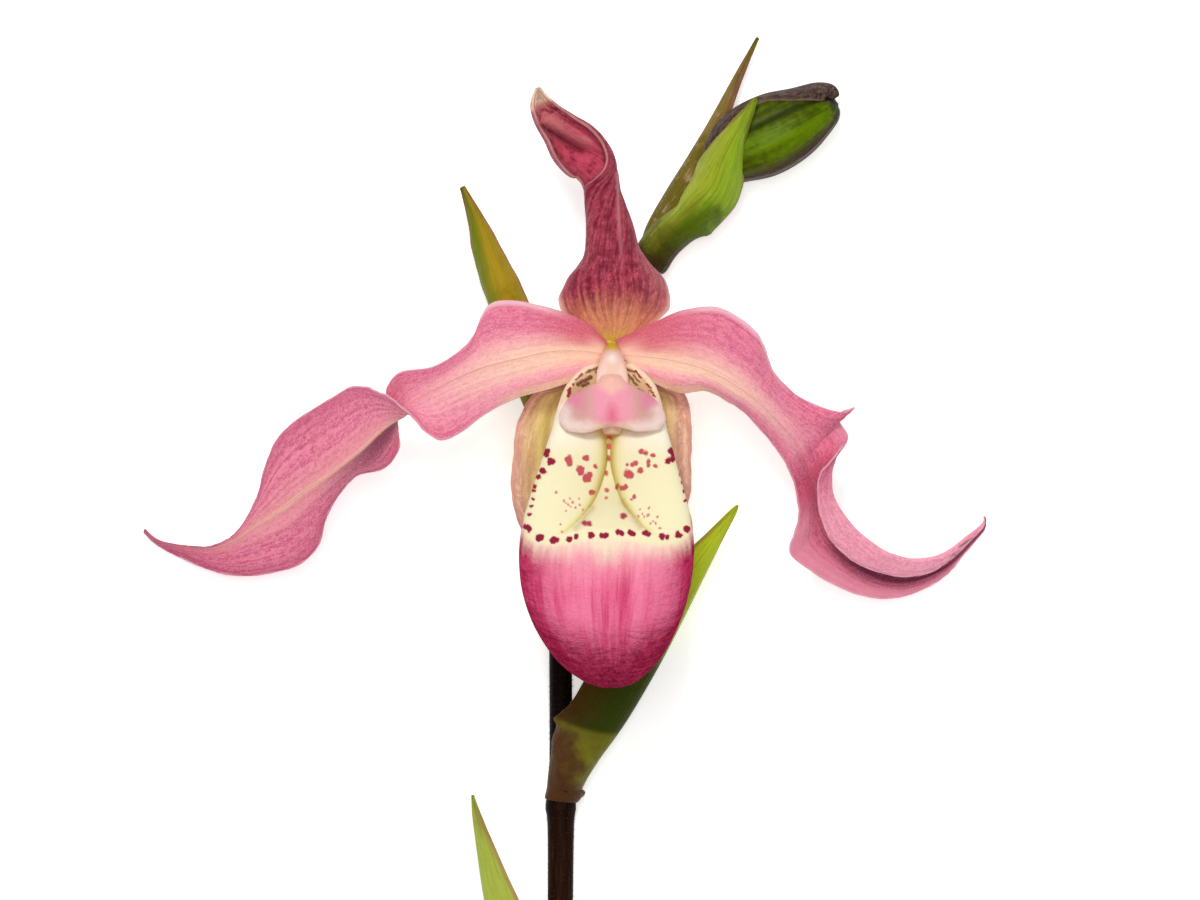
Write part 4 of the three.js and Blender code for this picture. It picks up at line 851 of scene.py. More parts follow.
def petal_back(paint, along, across, dark):
    """The side that faces away: rose, with a pale midrib and painted shade in the fold beside it."""
    off, flap = abs(across), paint.attribute("flap")
    colour = paint.mix("ee90a6", "cc5a7e", dark)
    colour = paint.mix(colour, "b0406a", paint.step(off, 0.5, 1.0) * (1.0 - flap) * 0.5)
    colour = paint.mix(colour, paint.mix("fcb0c2", "ec8ca6", dark), flap * 0.9)
    colour = paint.mix(colour, "f0aaa6", paint.fade(off, 0.04, 0.45) * (1.0 - flap) * 0.5)
    # Painted shade where the left petal folds beside its midrib past the twist.
    colour = paint.mix(colour, "6e2844", paint.attribute("crease_shade") * 0.85)
    colour = paint.mix(colour, "efc9a4", paint.fade(off, 0.01, 0.05) * 0.6)
    colour = paint.mix(colour, "b8785c", paint.fade(off, 0.002, 0.014) * 0.5)
    return paint.mix(colour, "ac3660", paint.step(along, 0.76, 0.94) * (1.0 - flap) * 0.5)


def petal_paint():
    """Pink tissue with fine lines, a net of veins and a down of short pale hairs."""
    paint = Paint("petal tissue")
    along, across, margin, face = paint.attributes("along", "across", "margin", "face")
    place = paint.place()
    lines = paint.noise(paint.join(along * 3.4, across * 15.0), 1.0, 3.0, 0.55)
    net = paint.noise(paint.join(along * 90.0, across * 18.0), 1.0, 2.0, 0.6, 0.6)
    grain = paint.noise(place, 3.4, 2.0, 0.6)
    dark = paint.step(lines * 0.36 + net * 0.32 + grain * 0.32, 0.40, 0.62)
    colour = petal_front(paint, along, across, dark, grain)
    colour = paint.mix(petal_back(paint, along, across, dark), colour, face)
    # The right petal's groove under its rolled margin: dark wine that is partly its own colour and partly
    # painted shade inside the fold.
    colour = paint.mix(colour, "8a3054", paint.attribute("channel") * 0.92)
    down = paint.step(paint.noise(place, 5.0, 1.0), 0.6, 0.74)
    colour = paint.mix(colour, "fbe2e8", down * 0.22)
    pale = paint.fade(margin, 0.03, 0.26) * paint.step(along, 0.06, 0.14)
    colour = paint.mix(colour, "f2c2ce", pale * 0.45)
    brim = paint.fade(margin, 0.2, 1.2) * paint.step(along, 0.05, 0.1) * paint.step(along, 0.26, 0.14)
    colour = paint.mix(colour, "f4c8d0", brim * paint.step(across, 0.5, 0.8) * face * (0.3 + lines * 0.7))
    relief = paint.bump(lines, 0.1, paint.bump(net, 0.08, paint.bump(grain, 0.05)))
    return paint.finish(colour, 0.5, relief, **FLESH, Sheen_Weight=0.12, Sheen_Roughness=0.5)


def dorsal_outside(paint, along, across, lines, mottle, thread):
    """Wine red under a dark net of veins, with peach streaks that rise from a yellow base."""
    dark = paint.step(lines * 0.5 + mottle * 0.5, 0.40, 0.62)
    colour = paint.mix("bc4e60", "822038", dark)
    colour = paint.mix(colour, "d8868a", paint.step(across, 0.2, 0.7) * 0.42)
    colour = paint.mix(colour, "5a0e22", thread * 0.72)
    colour = paint.mix(colour, "e8a4a8", paint.attribute("seam") * (0.1 + mottle * 0.5))
    side = paint.step(across * across, 0.0, 0.7)
    low = paint.fade(along + (lines - 0.5) * 0.1 + side * 0.02, 0.04, 0.17)
    warm = paint.mix("e2a070", "b8604c", paint.math("MAXIMUM", dark * 0.6, thread * 0.7))
    colour = paint.mix(colour, warm, low * 0.92)
    return paint.mix(colour, "cfb23a", paint.fade(along, 0.0, 0.055) * 0.9)


def dorsal_inside(paint, along, lines, mottle):
    """The open scoop: a rosy bowl, painted shade in the valley below the fold, and a peach ridge with pale
    blotches.
    """
    colour = paint.mix("c64e66", "962a44", paint.step(lines * 0.3 + mottle * 0.7, 0.44, 0.64))
    upper = paint.step(along + (mottle - 0.5) * 0.2, 0.74, 0.86)
    colour = paint.mix(colour, paint.mix("d88078", "8e3044", paint.step(mottle, 0.4, 0.6)), upper * 0.7)
    blotch = paint.attribute("ridge") * paint.step(mottle * 0.7 + lines * 0.3, 0.36, 0.58)
    colour = paint.mix(colour, "d88c88", blotch * 0.6)
    # Painted shade in the valley below the scoop's fold.
    return paint.mix(colour, "6a1226", paint.attribute("shaded_trough") * 0.9)


def dorsal_paint():
    paint = Paint("upper sepal tissue")
    along, across, margin, inside = paint.attributes("along", "across", "margin", "front")
    place = paint.place()
    sway = paint.noise(place, 0.7, 2.0)
    lines = paint.noise(paint.join(along * 5.0, across * 13.0), 1.0, 2.0, 0.5, 0.2)
    mottle = paint.noise(place, 0.8, 3.0, 0.6)
    veins = paint.noise(paint.join(along * 8.0, across * 15.0), 1.0, 2.0, 0.5, 0.3)
    streaks = paint.fade(abs(veins - 0.5), 0.0, 0.05)
    net = paint.cells(paint.join(along * 58.0 + sway * 2.5, across * 19.0 + sway), 1.0, "DISTANCE_TO_EDGE")
    thread = paint.math("MAXIMUM", streaks * 0.85, paint.fade(net, 0.0, 0.2) * 0.6)
    colour = dorsal_outside(paint, along, across, lines, mottle, thread)
    colour = paint.mix(colour, dorsal_inside(paint, along, lines, mottle), inside * 0.97)
    tip = paint.step(along + (mottle - 0.5) * 0.08, 0.87, 0.92)
    colour = paint.mix(colour, "ffdcc0", tip)
    edge = paint.fade(margin, 0.04, 0.3) * paint.step(along, 0.3, 0.5)
    colour = paint.mix(colour, "dca8a4", edge * 0.4)
    hem = paint.step(across * across, 0.6, 0.92) * paint.step(along, 0.32, 0.2)
    colour = paint.mix(colour, "f2d4c0", hem * 0.75)
    relief = paint.bump(net, 0.16, paint.bump(lines, 0.15, paint.bump(paint.noise(place, 3.0, 2.0), 0.06)))
    return paint.finish(colour, 0.5, relief, **FLESH, Sheen_Weight=0.06, Sheen_Roughness=0.5)


def synsepal_paint():
    """Yellow by the pouch, dull rose with a fine net toward its margins."""
    paint = Paint("lower sepal tissue")
    along, across, margin = paint.attributes("along", "across", "margin")
    place = paint.place()
    veins = paint.noise(paint.join(along * 6.0, across * 14.0), 1.0, 2.0, 0.5, 0.3)
    net = paint.noise(paint.join(along * 42.0, across * 16.0), 1.0, 3.0, 0.6, 1.2)
    off = abs(across)
    colour = paint.mix("f2e48c", "e0ce72", paint.step(veins, 0.42, 0.62))
    rose = paint.mix("e8c4a6", "d0a08a", paint.step(net * 0.6 + veins * 0.4, 0.4, 0.6))
    reach = off + across * 0.08 + (veins - 0.5) * 0.3 + (along - 0.4) * 0.3
    colour = paint.mix(colour, rose, paint.step(reach, 0.52, 0.9) * 0.95)
    thread = paint.fade(abs(net - 0.5), 0.0, 0.06)
    colour = paint.mix(colour, "b87e66", thread * 0.16)
    colour = paint.mix(colour, "c08484", paint.fade(margin, 0.1, 0.9) * 0.45)
    relief = paint.bump(net * 0.5 + veins * 0.5, 0.2, paint.bump(paint.noise(place, 3.0, 2.0), 0.05))
    return paint.finish(colour, 0.5, relief, **FLESH)


# Marks on the lip: x, y, radius in millimetres, seen from the front.
LEFT_LOBE_SPOTS = (
    (1.3, 1.6, 0.6), (1.4, 1.0, 0.55), (3.7, 1.7, 0.4), (4.1, 1.9, 0.35), (3.0, 0.1, 0.6),
    (3.2, -0.4, 0.5), (4.1, -1.2, 0.65), (4.4, -0.8, 0.5), (5.3, 0.5, 0.33), (4.8, -3.3, 0.42),
)
RIGHT_LOBE_SPOTS = (
    (12.2, 2.8, 0.42), (12.8, 2.5, 0.36), (13.9, 2.2, 0.42), (11.3, 1.0, 0.42), (10.9, 0.8, 0.35),
    (13.2, 1.3, 0.35), (13.3, 0.8, 0.35), (14.3, 0.6, 0.33), (10.1, -0.5, 0.65), (10.6, -0.7, 0.55),
    (12.0, -0.1, 0.45), (10.0, 0.8, 0.28), (8.6, -2.5, 0.4), (9.4, -2.7, 0.45), (9.9, -2.5, 0.35),
    (11.1, -4.0, 0.3), (10.7, -4.4, 0.2),
)
LOBE_FRECKLES = (
    (-0.6, -3.3, 0.22), (0.6, -4.6, 0.2), (1.2, -5.2, 0.2), (1.9, -4.7, 0.22), (2.3, -5.6, 0.18),
    (1.0, -6.1, 0.18), (3.0, -5.2, 0.2), (2.8, -4.2, 0.16), (3.4, -6.0, 0.16), (0.2, -8.0, 0.2),
    (0.4, -9.3, 0.18), (1.6, -5.5, 0.16), (1.5, -4.3, 0.15), (0.9, -4.9, 0.15), (11.9, -5.9, 0.2),
    (12.3, -6.6, 0.16), (13.3, -5.6, 0.2), (13.2, -6.8, 0.22), (14.0, -7.6, 0.18), (14.6, -7.0, 0.18),
    (12.6, -7.0, 0.16), (13.6, -7.9, 0.18), (14.3, -7.9, 0.16), (14.9, -8.8, 0.2), (11.6, -6.9, 0.15),
)
CREST_SPOTS = (
    (-1.9, 2.8, 0.42), (-2.0, 2.3, 0.4), (-1.3, 1.3, 0.55), (-2.5, -0.1, 0.45), (-3.2, -1.0, 0.36),
    (-3.8, -2.4, 0.25), (-3.9, -3.1, 0.26), (-4.0, -4.3, 0.2), (-4.3, -5.4, 0.2), (-4.5, -6.6, 0.2),
    (-5.0, -8.5, 0.45), (-4.6, -8.9, 0.4), (16.6, 2.9, 0.4), (17.0, 2.4, 0.4), (16.2, 1.4, 0.42),
    (16.8, 1.6, 0.4), (17.9, 0.3, 0.22), (18.1, -0.6, 0.24), (18.4, -1.8, 0.22), (18.6, -3.1, 0.2),
    (18.8, -4.6, 0.2), (19.0, -8.8, 0.45),
)
RIM_SPOTS = (
    (-3.2, -10.2, 0.45), (-2.8, -10.0, 0.42), (-0.9, -10.4, 0.5), (-0.5, -10.4, 0.42),
    (1.4, -10.3, 0.42), (2.5, -9.9, 0.36), (4.7, -9.7, 0.48), (6.4, -9.7, 0.36), (6.8, -9.7, 0.36),
    (8.7, -9.3, 0.36), (9.2, -9.4, 0.36), (10.5, -9.4, 0.4), (10.9, -9.4, 0.36), (12.8, -9.4, 0.38),
    (13.2, -9.6, 0.34), (15.2, -9.9, 0.38), (16.0, -10.0, 0.3), (17.6, -9.6, 0.4), (18.0, -9.8, 0.32),
)
FOLD_SPOTS = ((3.7, -7.9, 0.45), (4.3, -7.9, 0.45), (9.5, -6.8, 0.5))
SLIT_SPOTS = (
    (7.1, 5.2, 0.5), (7.6, 5.0, 0.45), (7.3, 3.6, 0.5), (7.2, 1.8, 0.42), (6.9, -0.5, 0.35),
    (7.0, -3.0, 0.4), (6.9, -4.1, 0.25),
)
# Streaks on the claw: x, y of one end, x, y of the other, half width.
CLAW_STREAKS = (
    (4.0, 14.6, 5.8, 15.3, 0.2), (5.4, 14.7, 5.9, 14.2, 0.2), (2.8, 12.9, 4.6, 13.9, 0.34),
    (3.4, 12.6, 4.2, 13.0, 0.25), (10.1, 15.1, 11.2, 14.7, 0.22), (10.3, 14.1, 11.5, 12.8, 0.24),
    (11.9, 11.9, 12.9, 11.0, 0.34), (11.0, 14.2, 11.9, 13.2, 0.15),
)
# Painted shadows under the lobes' lower corners: x, y of one end, x, y of the other, half width.
FOLD_SHADOWS = ((2.5, -8.6, 4.9, -5.6, 0.3), (9.4, -4.6, 12.0, -8.4, 0.3))
CLAW_DASHES = (
    (2.4, 13.5, 3.2, 14.4, 0.16), (2.0, 12.8, 2.1, 12.9, 0.16), (1.2, 11.1, 1.5, 12.1, 0.24),
    (11.3, 14.9, 12.1, 13.9, 0.15), (12.9, 12.9, 13.5, 12.3, 0.16), (14.0, 11.3, 14.2, 11.1, 0.2),
    (13.6, 11.9, 13.9, 11.6, 0.14),
)


def streak_dots(streaks):
    """Each streak as a row of round marks that overlap."""
    marks = []
    for x0, y0, x1, y1, half in streaks:
        count = max(2, math.ceil(math.hypot(x1 - x0, y1 - y0) / (1.4 * half)) + 1)
        marks += [(x0 + (x1 - x0) * t, y0 + (y1 - y0) * t, half) for t in np.linspace(0, 1, count)]
    return marks


def lip_body_colour(paint, below, turn, fore, place):
    """Magenta with thin streaks, paler in front, darker and wrinkled toward the toe; the darker sides and toe
    are partly painted shade, and the wrinkles carry painted shade and painted glints.
    """
    streak = paint.noise(paint.join(turn * 34.0, below * 0.035), 1.0, 2.0, 0.5, 0.2)
    fine = paint.noise(paint.join(turn * 150.0, below * 0.2), 1.0, 2.0, 0.6)
    wrinkle = paint.noise(paint.join(turn * 22.0, below * 1.1), 1.0, 4.0, 0.65, 1.0)
    pebble = paint.noise(place, 1.7, 3.0, 0.65, 0.6)
    body = paint.mix("f47ca4", "dc4478", paint.step(streak * 0.7 + fine * 0.3, 0.38, 0.64))
    glow = paint.step(fore, 0.5, 1.0) * paint.step(below, 2.0, 9.0, 1.0, 0.12)
    body = paint.mix(body, "f8a8b8", glow * 0.8)
    # Darker at the sides and toward the toe: partly the pouch's own deeper wine, partly painted shade where
    # the pouch turns away from the light.
    side = paint.fade(fore, 0.3, 0.88)
    low = paint.step(below + (1.0 - fore) * 14.0, 12.0, 23.0)
    edge = paint.math("MAXIMUM", side, low)
    body = paint.mix(body, "be2050", edge * 0.86)
    # Painted shade in the wrinkles' hollows and painted glints on their ridges.
    wrinkle_shade = paint.step(wrinkle * 0.65 + pebble * 0.35, 0.46, 0.60)
    body = paint.mix(body, "6c0428", wrinkle_shade * edge * 0.6)
    wrinkle_glints = paint.step(wrinkle * 0.6 + pebble * 0.4, 0.42, 0.34)
    body = paint.mix(body, "f080a4", wrinkle_glints * edge * 0.6)
    lines = paint.step(fine * 0.5 + streak * 0.5, 0.55, 0.66) * paint.step(below, 2.0, 6.0)
    body = paint.mix(body, "b02c5e", lines * 0.3)
    height = wrinkle * (low * 1.6 + 0.1) + pebble * (0.25 + edge * 0.6) + streak * 0.15
    return body, height * paint.step(below, 0.6, 3.0)


def lobe_colour(paint, y, wander):
    """The infolded lobes: cream, yellow by their free edges, paler at the top, with painted shade along those
    edges where they curl down into the slit.
    """
    inner = paint.attribute("inner")
    lobe = paint.mix("ede5bd", "e3d989", inner * 0.9 + (wander - 0.5) * 0.25)
    lobe = paint.mix(lobe, "f4efdc", paint.step(y, 1.5, 5.0) * (1.0 - inner) * 0.8)
    # Painted shade along the lobes' free edges, where they curl down into the slit.
    return paint.mix(lobe, "c8b25e", paint.attribute("hem") * 0.6)


def lip_spots(paint, colour, field, shown):
    """Maroon marks along the rim, rosier and browner ones on the lobes, and painted shadows under the lobes'
    lower corners.
    """
    edge_spots = CREST_SPOTS + RIM_SPOTS
    rosy = paint.mix("be3450", "c05a48", paint.step(paint.attribute("inner"), 0.2, 0.8))
    lobes = paint.dots(field, LEFT_LOBE_SPOTS + RIGHT_LOBE_SPOTS, 0.14)
    colour = paint.mix(colour, rosy, lobes * shown * 0.92)
    colour = paint.mix(colour, "d0566a", paint.dots(field, LOBE_FRECKLES, 0.1) * shown * 0.8)
    colour = paint.mix(colour, "dc6684", paint.dots(field, edge_spots, 0.3, 0.06) * shown * 0.5)
    colour = paint.mix(colour, "8c0c36", paint.dots(field, edge_spots, 0.1, 0.06) * shown * 0.97)
    # Painted shadow under each lobe's lower corner.
    colour = paint.mix(colour, "ac884e", paint.dots(field, streak_dots(FOLD_SHADOWS), 0.6) * shown * 0.5)
    return paint.mix(colour, "a82450", paint.dots(field, FOLD_SPOTS, 0.22) * shown * 0.95)


def lip_claw(paint, colour, field, y, below, wander):
    """The open back of the lip: khaki with brown streaks inside a pale, dotted rim."""
    rim = paint.step(y, 9.2, 10.4) * paint.fade(below, 2.0, 3.0)
    colour = paint.mix(colour, paint.mix("fff4f0", "f6dcd6", wander), rim * 0.95)
    claw = rim * paint.fade(below, -0.5, -0.2)
    colour = paint.mix(colour, paint.mix("f4dcb8", "e2bf96", wander), claw * 0.95)
    colour = paint.mix(colour, "5c241c", paint.dots(field, streak_dots(CLAW_STREAKS), 0.14) * rim * 0.85)
    return paint.mix(colour, "8c1038", paint.dots(field, streak_dots(CLAW_DASHES), 0.1) * rim * 0.95)


def lip_lining(paint, field, y, wander):
    """The inside of the pouch, as far as the slit and the back show it."""
    lining = paint.mix("efe0a4", "b04a40", paint.dots(field, SLIT_SPOTS, 0.3) * 0.85)
    back = paint.mix("ecd6ae", "c8a67a", wander)
    return paint.mix(lining, back, paint.step(y, 9.6, 10.6))


def lip_paint():
    paint = Paint("slipper tissue")
    below, turn, fore, front = paint.attributes("below_rim", "round", "foreward", "front")
    place = paint.place()
    x, y, _ = paint.parts(place)
    wander = paint.noise(place, 0.9, 3.0, 0.6)
    wander_y = paint.noise(place, 1.3, 2.0, 0.5)
    field = paint.join(x + (wander - 0.5) * 0.8, y + (wander_y - 0.5) * 0.8)
    body, height = lip_body_colour(paint, below, turn, fore, place)
    jag = paint.noise(paint.join(turn * 64.0, below * 0.2), 1.0, 3.0, 0.6)
    reach = 1.7 + paint.step(fore, 0.95, 1.0) * 1.6 + (jag - 0.5) * 4.0
    body = paint.mix(body, "f0dfc4", paint.fade(below - reach, -2.4, 2.6))
    colour = paint.mix(lobe_colour(paint, y, wander), body, paint.step(below, 0.3, 1.2))
    colour = lip_spots(paint, colour, field, paint.fade(below, 1.7, 2.6) * front)
    tongue = paint.step(fore, 0.86, 0.92) * paint.fade(below, -2.2, -1.2)
    colour = paint.mix(colour, "e6d6a8", tongue * paint.step(y, -2.0, 3.0) * 0.7)
    colour = paint.mix(colour, "c2484e", paint.dots(field, SLIT_SPOTS, 0.2) * tongue * 0.9)
    colour = lip_claw(paint, colour, field, y, below, wander)
    lining = lip_lining(paint, field, y, wander)
    # Painted light: the lining's inner faces glow, standing in for light that comes through the pouch.
    painted_lining_glow = paint.mix(lining, (0, 0, 0, 1), paint.step(front, 0.1, 0.4))
    colour = paint.mix(lining, colour, paint.step(front, 0.3, 0.6))
    skin = paint.bump(height, 0.9, paint.bump(paint.cells(place, 2.2), 0.03))
    glow = {"Emission_Color": painted_lining_glow, "Emission_Strength": LINING_GLOW}
    return paint.finish(colour, 0.42, skin, **dict(FLESH, Specular_IOR_Level=0.0), **glow)


def column_paint():
    """Peach, paler toward its sides as painted light that evens out their shade, whitish in the middle under a
    painted highlight, yellow where the flower's parts spring from it.
    """
    paint = Paint("column tissue")
    place = paint.place()
    x, y, _ = paint.parts(place)
    off = abs(x - FLOWER_AXIS_X)
    grain = paint.noise(place, 1.4, 2.0)
    # Paler toward the sides: painted light that evens out the shade where the column turns away.
    colour = paint.mix("ecc4b0", "ffd2c2", paint.step(off + (grain - 0.5) * 0.8, 0.4, 1.8))
    # A painted highlight on the column's front.
    painted_highlight = paint.dots(paint.join(x, y), ((FLOWER_AXIS_X, 16.8, 0.5),), 0.9)
    colour = paint.mix(colour, "fff6f0", painted_highlight * 0.85)
    colour = paint.mix(colour, "dcbc38", paint.step(y + (grain - 0.5) * 0.5, 17.5, 18.6))
    colour = paint.mix(colour, "c9a088", paint.fade(y, 5.2, 6.6))
    return paint.finish(colour, 0.35, paint.bump(grain, 0.06), **FLESH, Coat_Weight=0.2, Coat_Roughness=0.25)


def shield_paint():
    """Pink, with a magenta heart, a peach top that melts into the column, and pale lobes."""
    paint = Paint("shield tissue")
    place = paint.place()
    x, y, _ = paint.parts(place)
    off = abs(x - FLOWER_AXIS_X)
    grain = paint.noise(place, 0.8, 3.0)
    soft = (grain - 0.5) * 1.6
    colour = paint.mix("ea98ac", "d09e94", paint.step(off + soft, 1.6, 4.2))
    colour = paint.mix(colour, "f0dcd8", paint.step(off + soft, 5.0, 7.4) * 0.7)
    corner = paint.step(y - off * 0.42 + soft * 0.4, 6.2, 7.8) * paint.step(off, 3.0, 5.5)
    colour = paint.mix(colour, "d97a9c", corner * 0.75)
    heart = paint.dots(paint.join(x, y * 0.6), ((FLOWER_AXIS_X, 5.0, 0.4),), 1.2)
    colour = paint.mix(colour, "d83866", heart * 0.85)
    skirt = paint.fade(y + soft * 0.5 - off * 0.12, 5.9, 7.6)
    pale = paint.mix("ecd8b4", "f0d8d0", paint.step(off, 1.2, 3.6))
    colour = paint.mix(colour, pale, skirt * 0.85)
    top = paint.step(y - off * 0.45 + soft * 0.3, 10.4, 12.2)
    colour = paint.mix(colour, paint.mix("eebaa8", "eca4ac", paint.step(off, 0.8, 3.0)), top * 0.95)
    rim = paint.fade(paint.attribute("margin"), 0.1, 0.5) * paint.step(y, 11.0, 9.0)
    colour = paint.mix(colour, "e8a0b4", rim * 0.35)
    relief = paint.bump(paint.noise(place, 0.6, 2.0), 0.3, paint.bump(paint.noise(place, 2.4, 3.0), 0.06))
    return paint.finish(colour, 0.42, relief, **FLESH, Sheen_Weight=0.1)


def bract_paint(name, tones, reach, mottle=0.5, keel=None, flank=None, shade=None, scurf=0.0, tilt=0.0):
    """A sheathing bract: its base, old and young tones in turn along its length, then its edge.

    The reach is where the base ends and the young tone starts, as parts of the length. The
    flank is the tone of its left half; the shade is a painted shadow, a dark round patch: x, y,
    radius, and the two y between which it fades. Scurf is how much pale down it carries, and
    tilt how much less far the tone of its base reaches on its right half.
    """
    young, old, base, edge = tones
    paint = Paint(name)
    along, across, margin = paint.attributes("along", "across", "margin")
    place = paint.place()
    lines = paint.noise(paint.join(along * 4.0, across * 13.0), 1.0, 2.0, 0.55, 0.2)
    fibres = paint.noise(paint.join(along * 9.0, across * 44.0), 1.0, 2.0, 0.5)
    patches = paint.noise(place, 0.35, 4.0, 0.6)
    shift = (patches - 0.5) * mottle
    colour = paint.mix(old, young, paint.step(along + shift, reach[1], reach[1] + 0.25))
    if flank:
        colour = paint.mix(colour, flank, paint.step(across + shift * 0.4, -0.3, 0.2, 0.9, 0.0))
    faded = paint.step(lines * 0.6 + patches * 0.4, 0.48, 0.62) * paint.step(along, 0.85, 0.45, 0.1, 0.4)
    colour = paint.mix(colour, old, faded)
    colour = paint.mix(colour, edge, paint.step(fibres * 0.5 + lines * 0.5, 0.52, 0.64) * 0.15)
    if keel:
        ridge = paint.fade(abs(across), 0.004, 0.024)
        colour = paint.mix(colour, keel, ridge * 0.6)
    colour = paint.mix(colour, edge, paint.fade(margin, 0.1, 0.9) * paint.step(along, 0.95, 0.8) * 0.7)
    if scurf:
        down = paint.noise(paint.join(along * 26.0, across * 9.0), 1.0, 5.0, 0.75)
        down = paint.step(down * 0.7 + patches * 0.3, 0.5, 0.68)
        colour = paint.mix(colour, "d2b8a8", down * scurf)
    low = paint.fade(along + shift * 0.6 + (across + 0.55) * tilt, reach[0] - 0.1, reach[0] + 0.12)
    colour = paint.mix(colour, base, low * 0.95)
    # Painted shadow of the pouch on the bract: dark olive, browner toward one margin and greener toward the
    # other.
    if shade:
        shadow_tone = paint.mix("422800", "2a3c00", paint.step(across, -0.9, -0.4))
        colour = paint.mix(colour, shadow_tone, painted_pouch_shadow(paint, place, shade) * 0.88)
    relief = paint.bump(fibres, 0.12, paint.bump(lines, 0.2, paint.bump(patches, 0.3)))
    return paint.finish(colour, 0.45, relief, **LEAF, Sheen_Weight=0.04)


# A painted shadow: a dark round patch, fading out between two values of y.
def painted_pouch_shadow(paint, place, shade):
    x, y, radius, low, high = shade
    _, here, _ = paint.parts(place)
    flat = paint.node("VectorMath", {"operation": "MULTIPLY"}, {0: place, 1: (1, 1, 0)})
    gap = paint.node("VectorMath", {"operation": "DISTANCE"}, {0: paint.value(flat), 1: (x, y, 0)})
    disc = paint.fade(paint.value(gap, "Value"), radius - 0.5, radius + 0.5)
    return disc * paint.fade(here, low, high)


def stem_paint():
    paint = Paint("stem skin")
    length, turn = paint.attributes("length", "round")
    place = paint.place()
    lines = paint.noise(paint.join(turn * 26.0, length * 0.12), 1.0, 3.0, 0.6)
    specks = paint.noise(place, 3.0, 2.0)
    _, y, _ = paint.parts(place)
    brown = paint.mix("1c0800", "3a1806", paint.step(lines, 0.45, 0.72))
    colour = paint.mix(brown, "0c0200", paint.step(y, -60.0, -45.0))
    colour = paint.mix(colour, "46220f", paint.step(specks, 0.64, 0.82) * 0.3)
    return paint.finish(colour, 0.6, paint.bump(lines, 0.12), Specular_IOR_Level=0.06)


def ovary_paint():
    paint = Paint("ovary skin")
    along, turn = paint.attributes("along", "round")
    place = paint.place()
    mottle = paint.noise(place, 0.7, 3.0)
    colour = paint.mix("42200f", "635020", paint.step(mottle, 0.4, 0.68))
    colour = paint.mix(colour, "d0b83c", paint.step(along + (mottle - 0.5) * 0.2, 0.62, 0.92) * 0.95)
    lines = paint.noise(paint.join(turn * 12.0, along * 3.0), 1.0, 2.0)
    return paint.finish(colour, 0.5, paint.bump(lines, 0.15), Specular_IOR_Level=0.2, Sheen_Weight=0.1)


def bud_paint():
    """Deep green with darker lines, and purple-brown along its seam, keel and tip."""
    paint = Paint("bud skin")
    along, turn = paint.attributes("along", "round")
    place = paint.place()
    lines = paint.noise(paint.join(turn * 34.0, along * 2.2), 1.0, 3.0, 0.6, 0.2)
    mottle = paint.noise(place, 0.9, 3.0, 0.6)
    blend = paint.noise(paint.join(turn * 9.0, along * 1.2), 1.0, 2.0, 0.5)
    dark = paint.step(blend * 0.5 + lines * 0.3 + mottle * 0.2, 0.4, 0.6)
    colour = paint.mix("628000", "3e4800", dark)
    low = paint.fade(along + (mottle - 0.5) * 0.2, 0.12, 0.4)
    colour = paint.mix(colour, "2c3a02", low * 0.8)
    colour = paint.mix(colour, "26280a", paint.attribute("seam") * 0.85)
    colour = paint.mix(colour, "3e2620", paint.math("MINIMUM", paint.attribute("keel") * 1.5, 1.0) * 0.94)
    tip = paint.step(along + (mottle - 0.5) * 0.2, 0.82, 0.96)
    colour = paint.mix(colour, "241610", tip * 0.9)
    relief = paint.bump(lines, 0.22, paint.bump(mottle, 0.25))
    return paint.finish(colour, 0.42, relief, **LEAF, Coat_Weight=0.04, Coat_Roughness=0.35)


def cap_paint():
    paint = Paint("dark sepal skin")
    along, across, margin = paint.attributes("along", "across", "margin")
    place = paint.place()
    net = paint.noise(paint.join(along * 22.0, across * 9.0), 1.0, 4.0, 0.65, 0.8)
    colour = paint.mix("38221c", "665048", paint.step(net, 0.40, 0.68))
    olive = paint.step(paint.noise(place, 0.5, 2.0), 0.46, 0.68) * paint.step(along, 0.86, 0.7)
    colour = paint.mix(colour, "7c6c40", olive * 0.3)
    down = paint.step(paint.noise(place, 2.4, 4.0, 0.8), 0.54, 0.7)
    colour = paint.mix(colour, "a89488", down * paint.step(along, 0.2, 1.0) * 0.5)
    colour = paint.mix(colour, "7a6c58", paint.fade(margin, 0.05, 0.35) * 0.45)
    relief = paint.bump(net, 0.3, paint.bump(paint.noise(place, 2.5, 2.0), 0.1))
    return paint.finish(colour, 0.5, relief, **LEAF, Coat_Weight=0.05, Coat_Roughness=0.4)


def floor_paint():
    """A pale surface that glows a little, as a light table does."""
    paint = Paint("pale floor")
    grain = paint.noise(paint.place(), 0.05, 2.0)
    colour = paint.mix("fbfbfa", "ffffff", grain)
    return paint.finish(colour, 0.9, Emission_Color=(1, 1, 1, 1), Emission_Strength=FLOOR_GLOW)


def hair_paint(name, colour, root):
    paint = Paint(name)
    grain = paint.noise(paint.place(), 0.8, 1.0)
    return paint.finish(paint.mix(colour, root, grain), 0.5, Sheen_Weight=0.1)


# ------------------------------------------------------------------ pieces


def add_piece(name, mesh, material, slot, *nodes):
    mesh.materials.clear()
    mesh.materials.append(material)
    piece = bpy.data.objects.new(name, mesh)
    bpy.context.scene.collection.objects.link(piece)
    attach(piece, "root")
    if nodes:
        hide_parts(*nodes)


def rippled(grid, size, waves, phase):
    """A blade's grid with small waves: none at the midrib, of this size at the margins."""
    gone = walk(grid, 0)
    across = np.linspace(-1, 1, grid.shape[1])[None]
    beat = np.sin(gone * waves + phase) + 0.5 * np.sin(gone * waves * 2.3 + 1.7 * phase)
    ends = smooth(0, 6, gone) * smooth(0, 8, gone[-1] - gone)
    lift = size * np.abs(across) ** 3 * beat * ends
    return grid + unit(np.cross(*slopes(grid, False))) * lift[..., None]


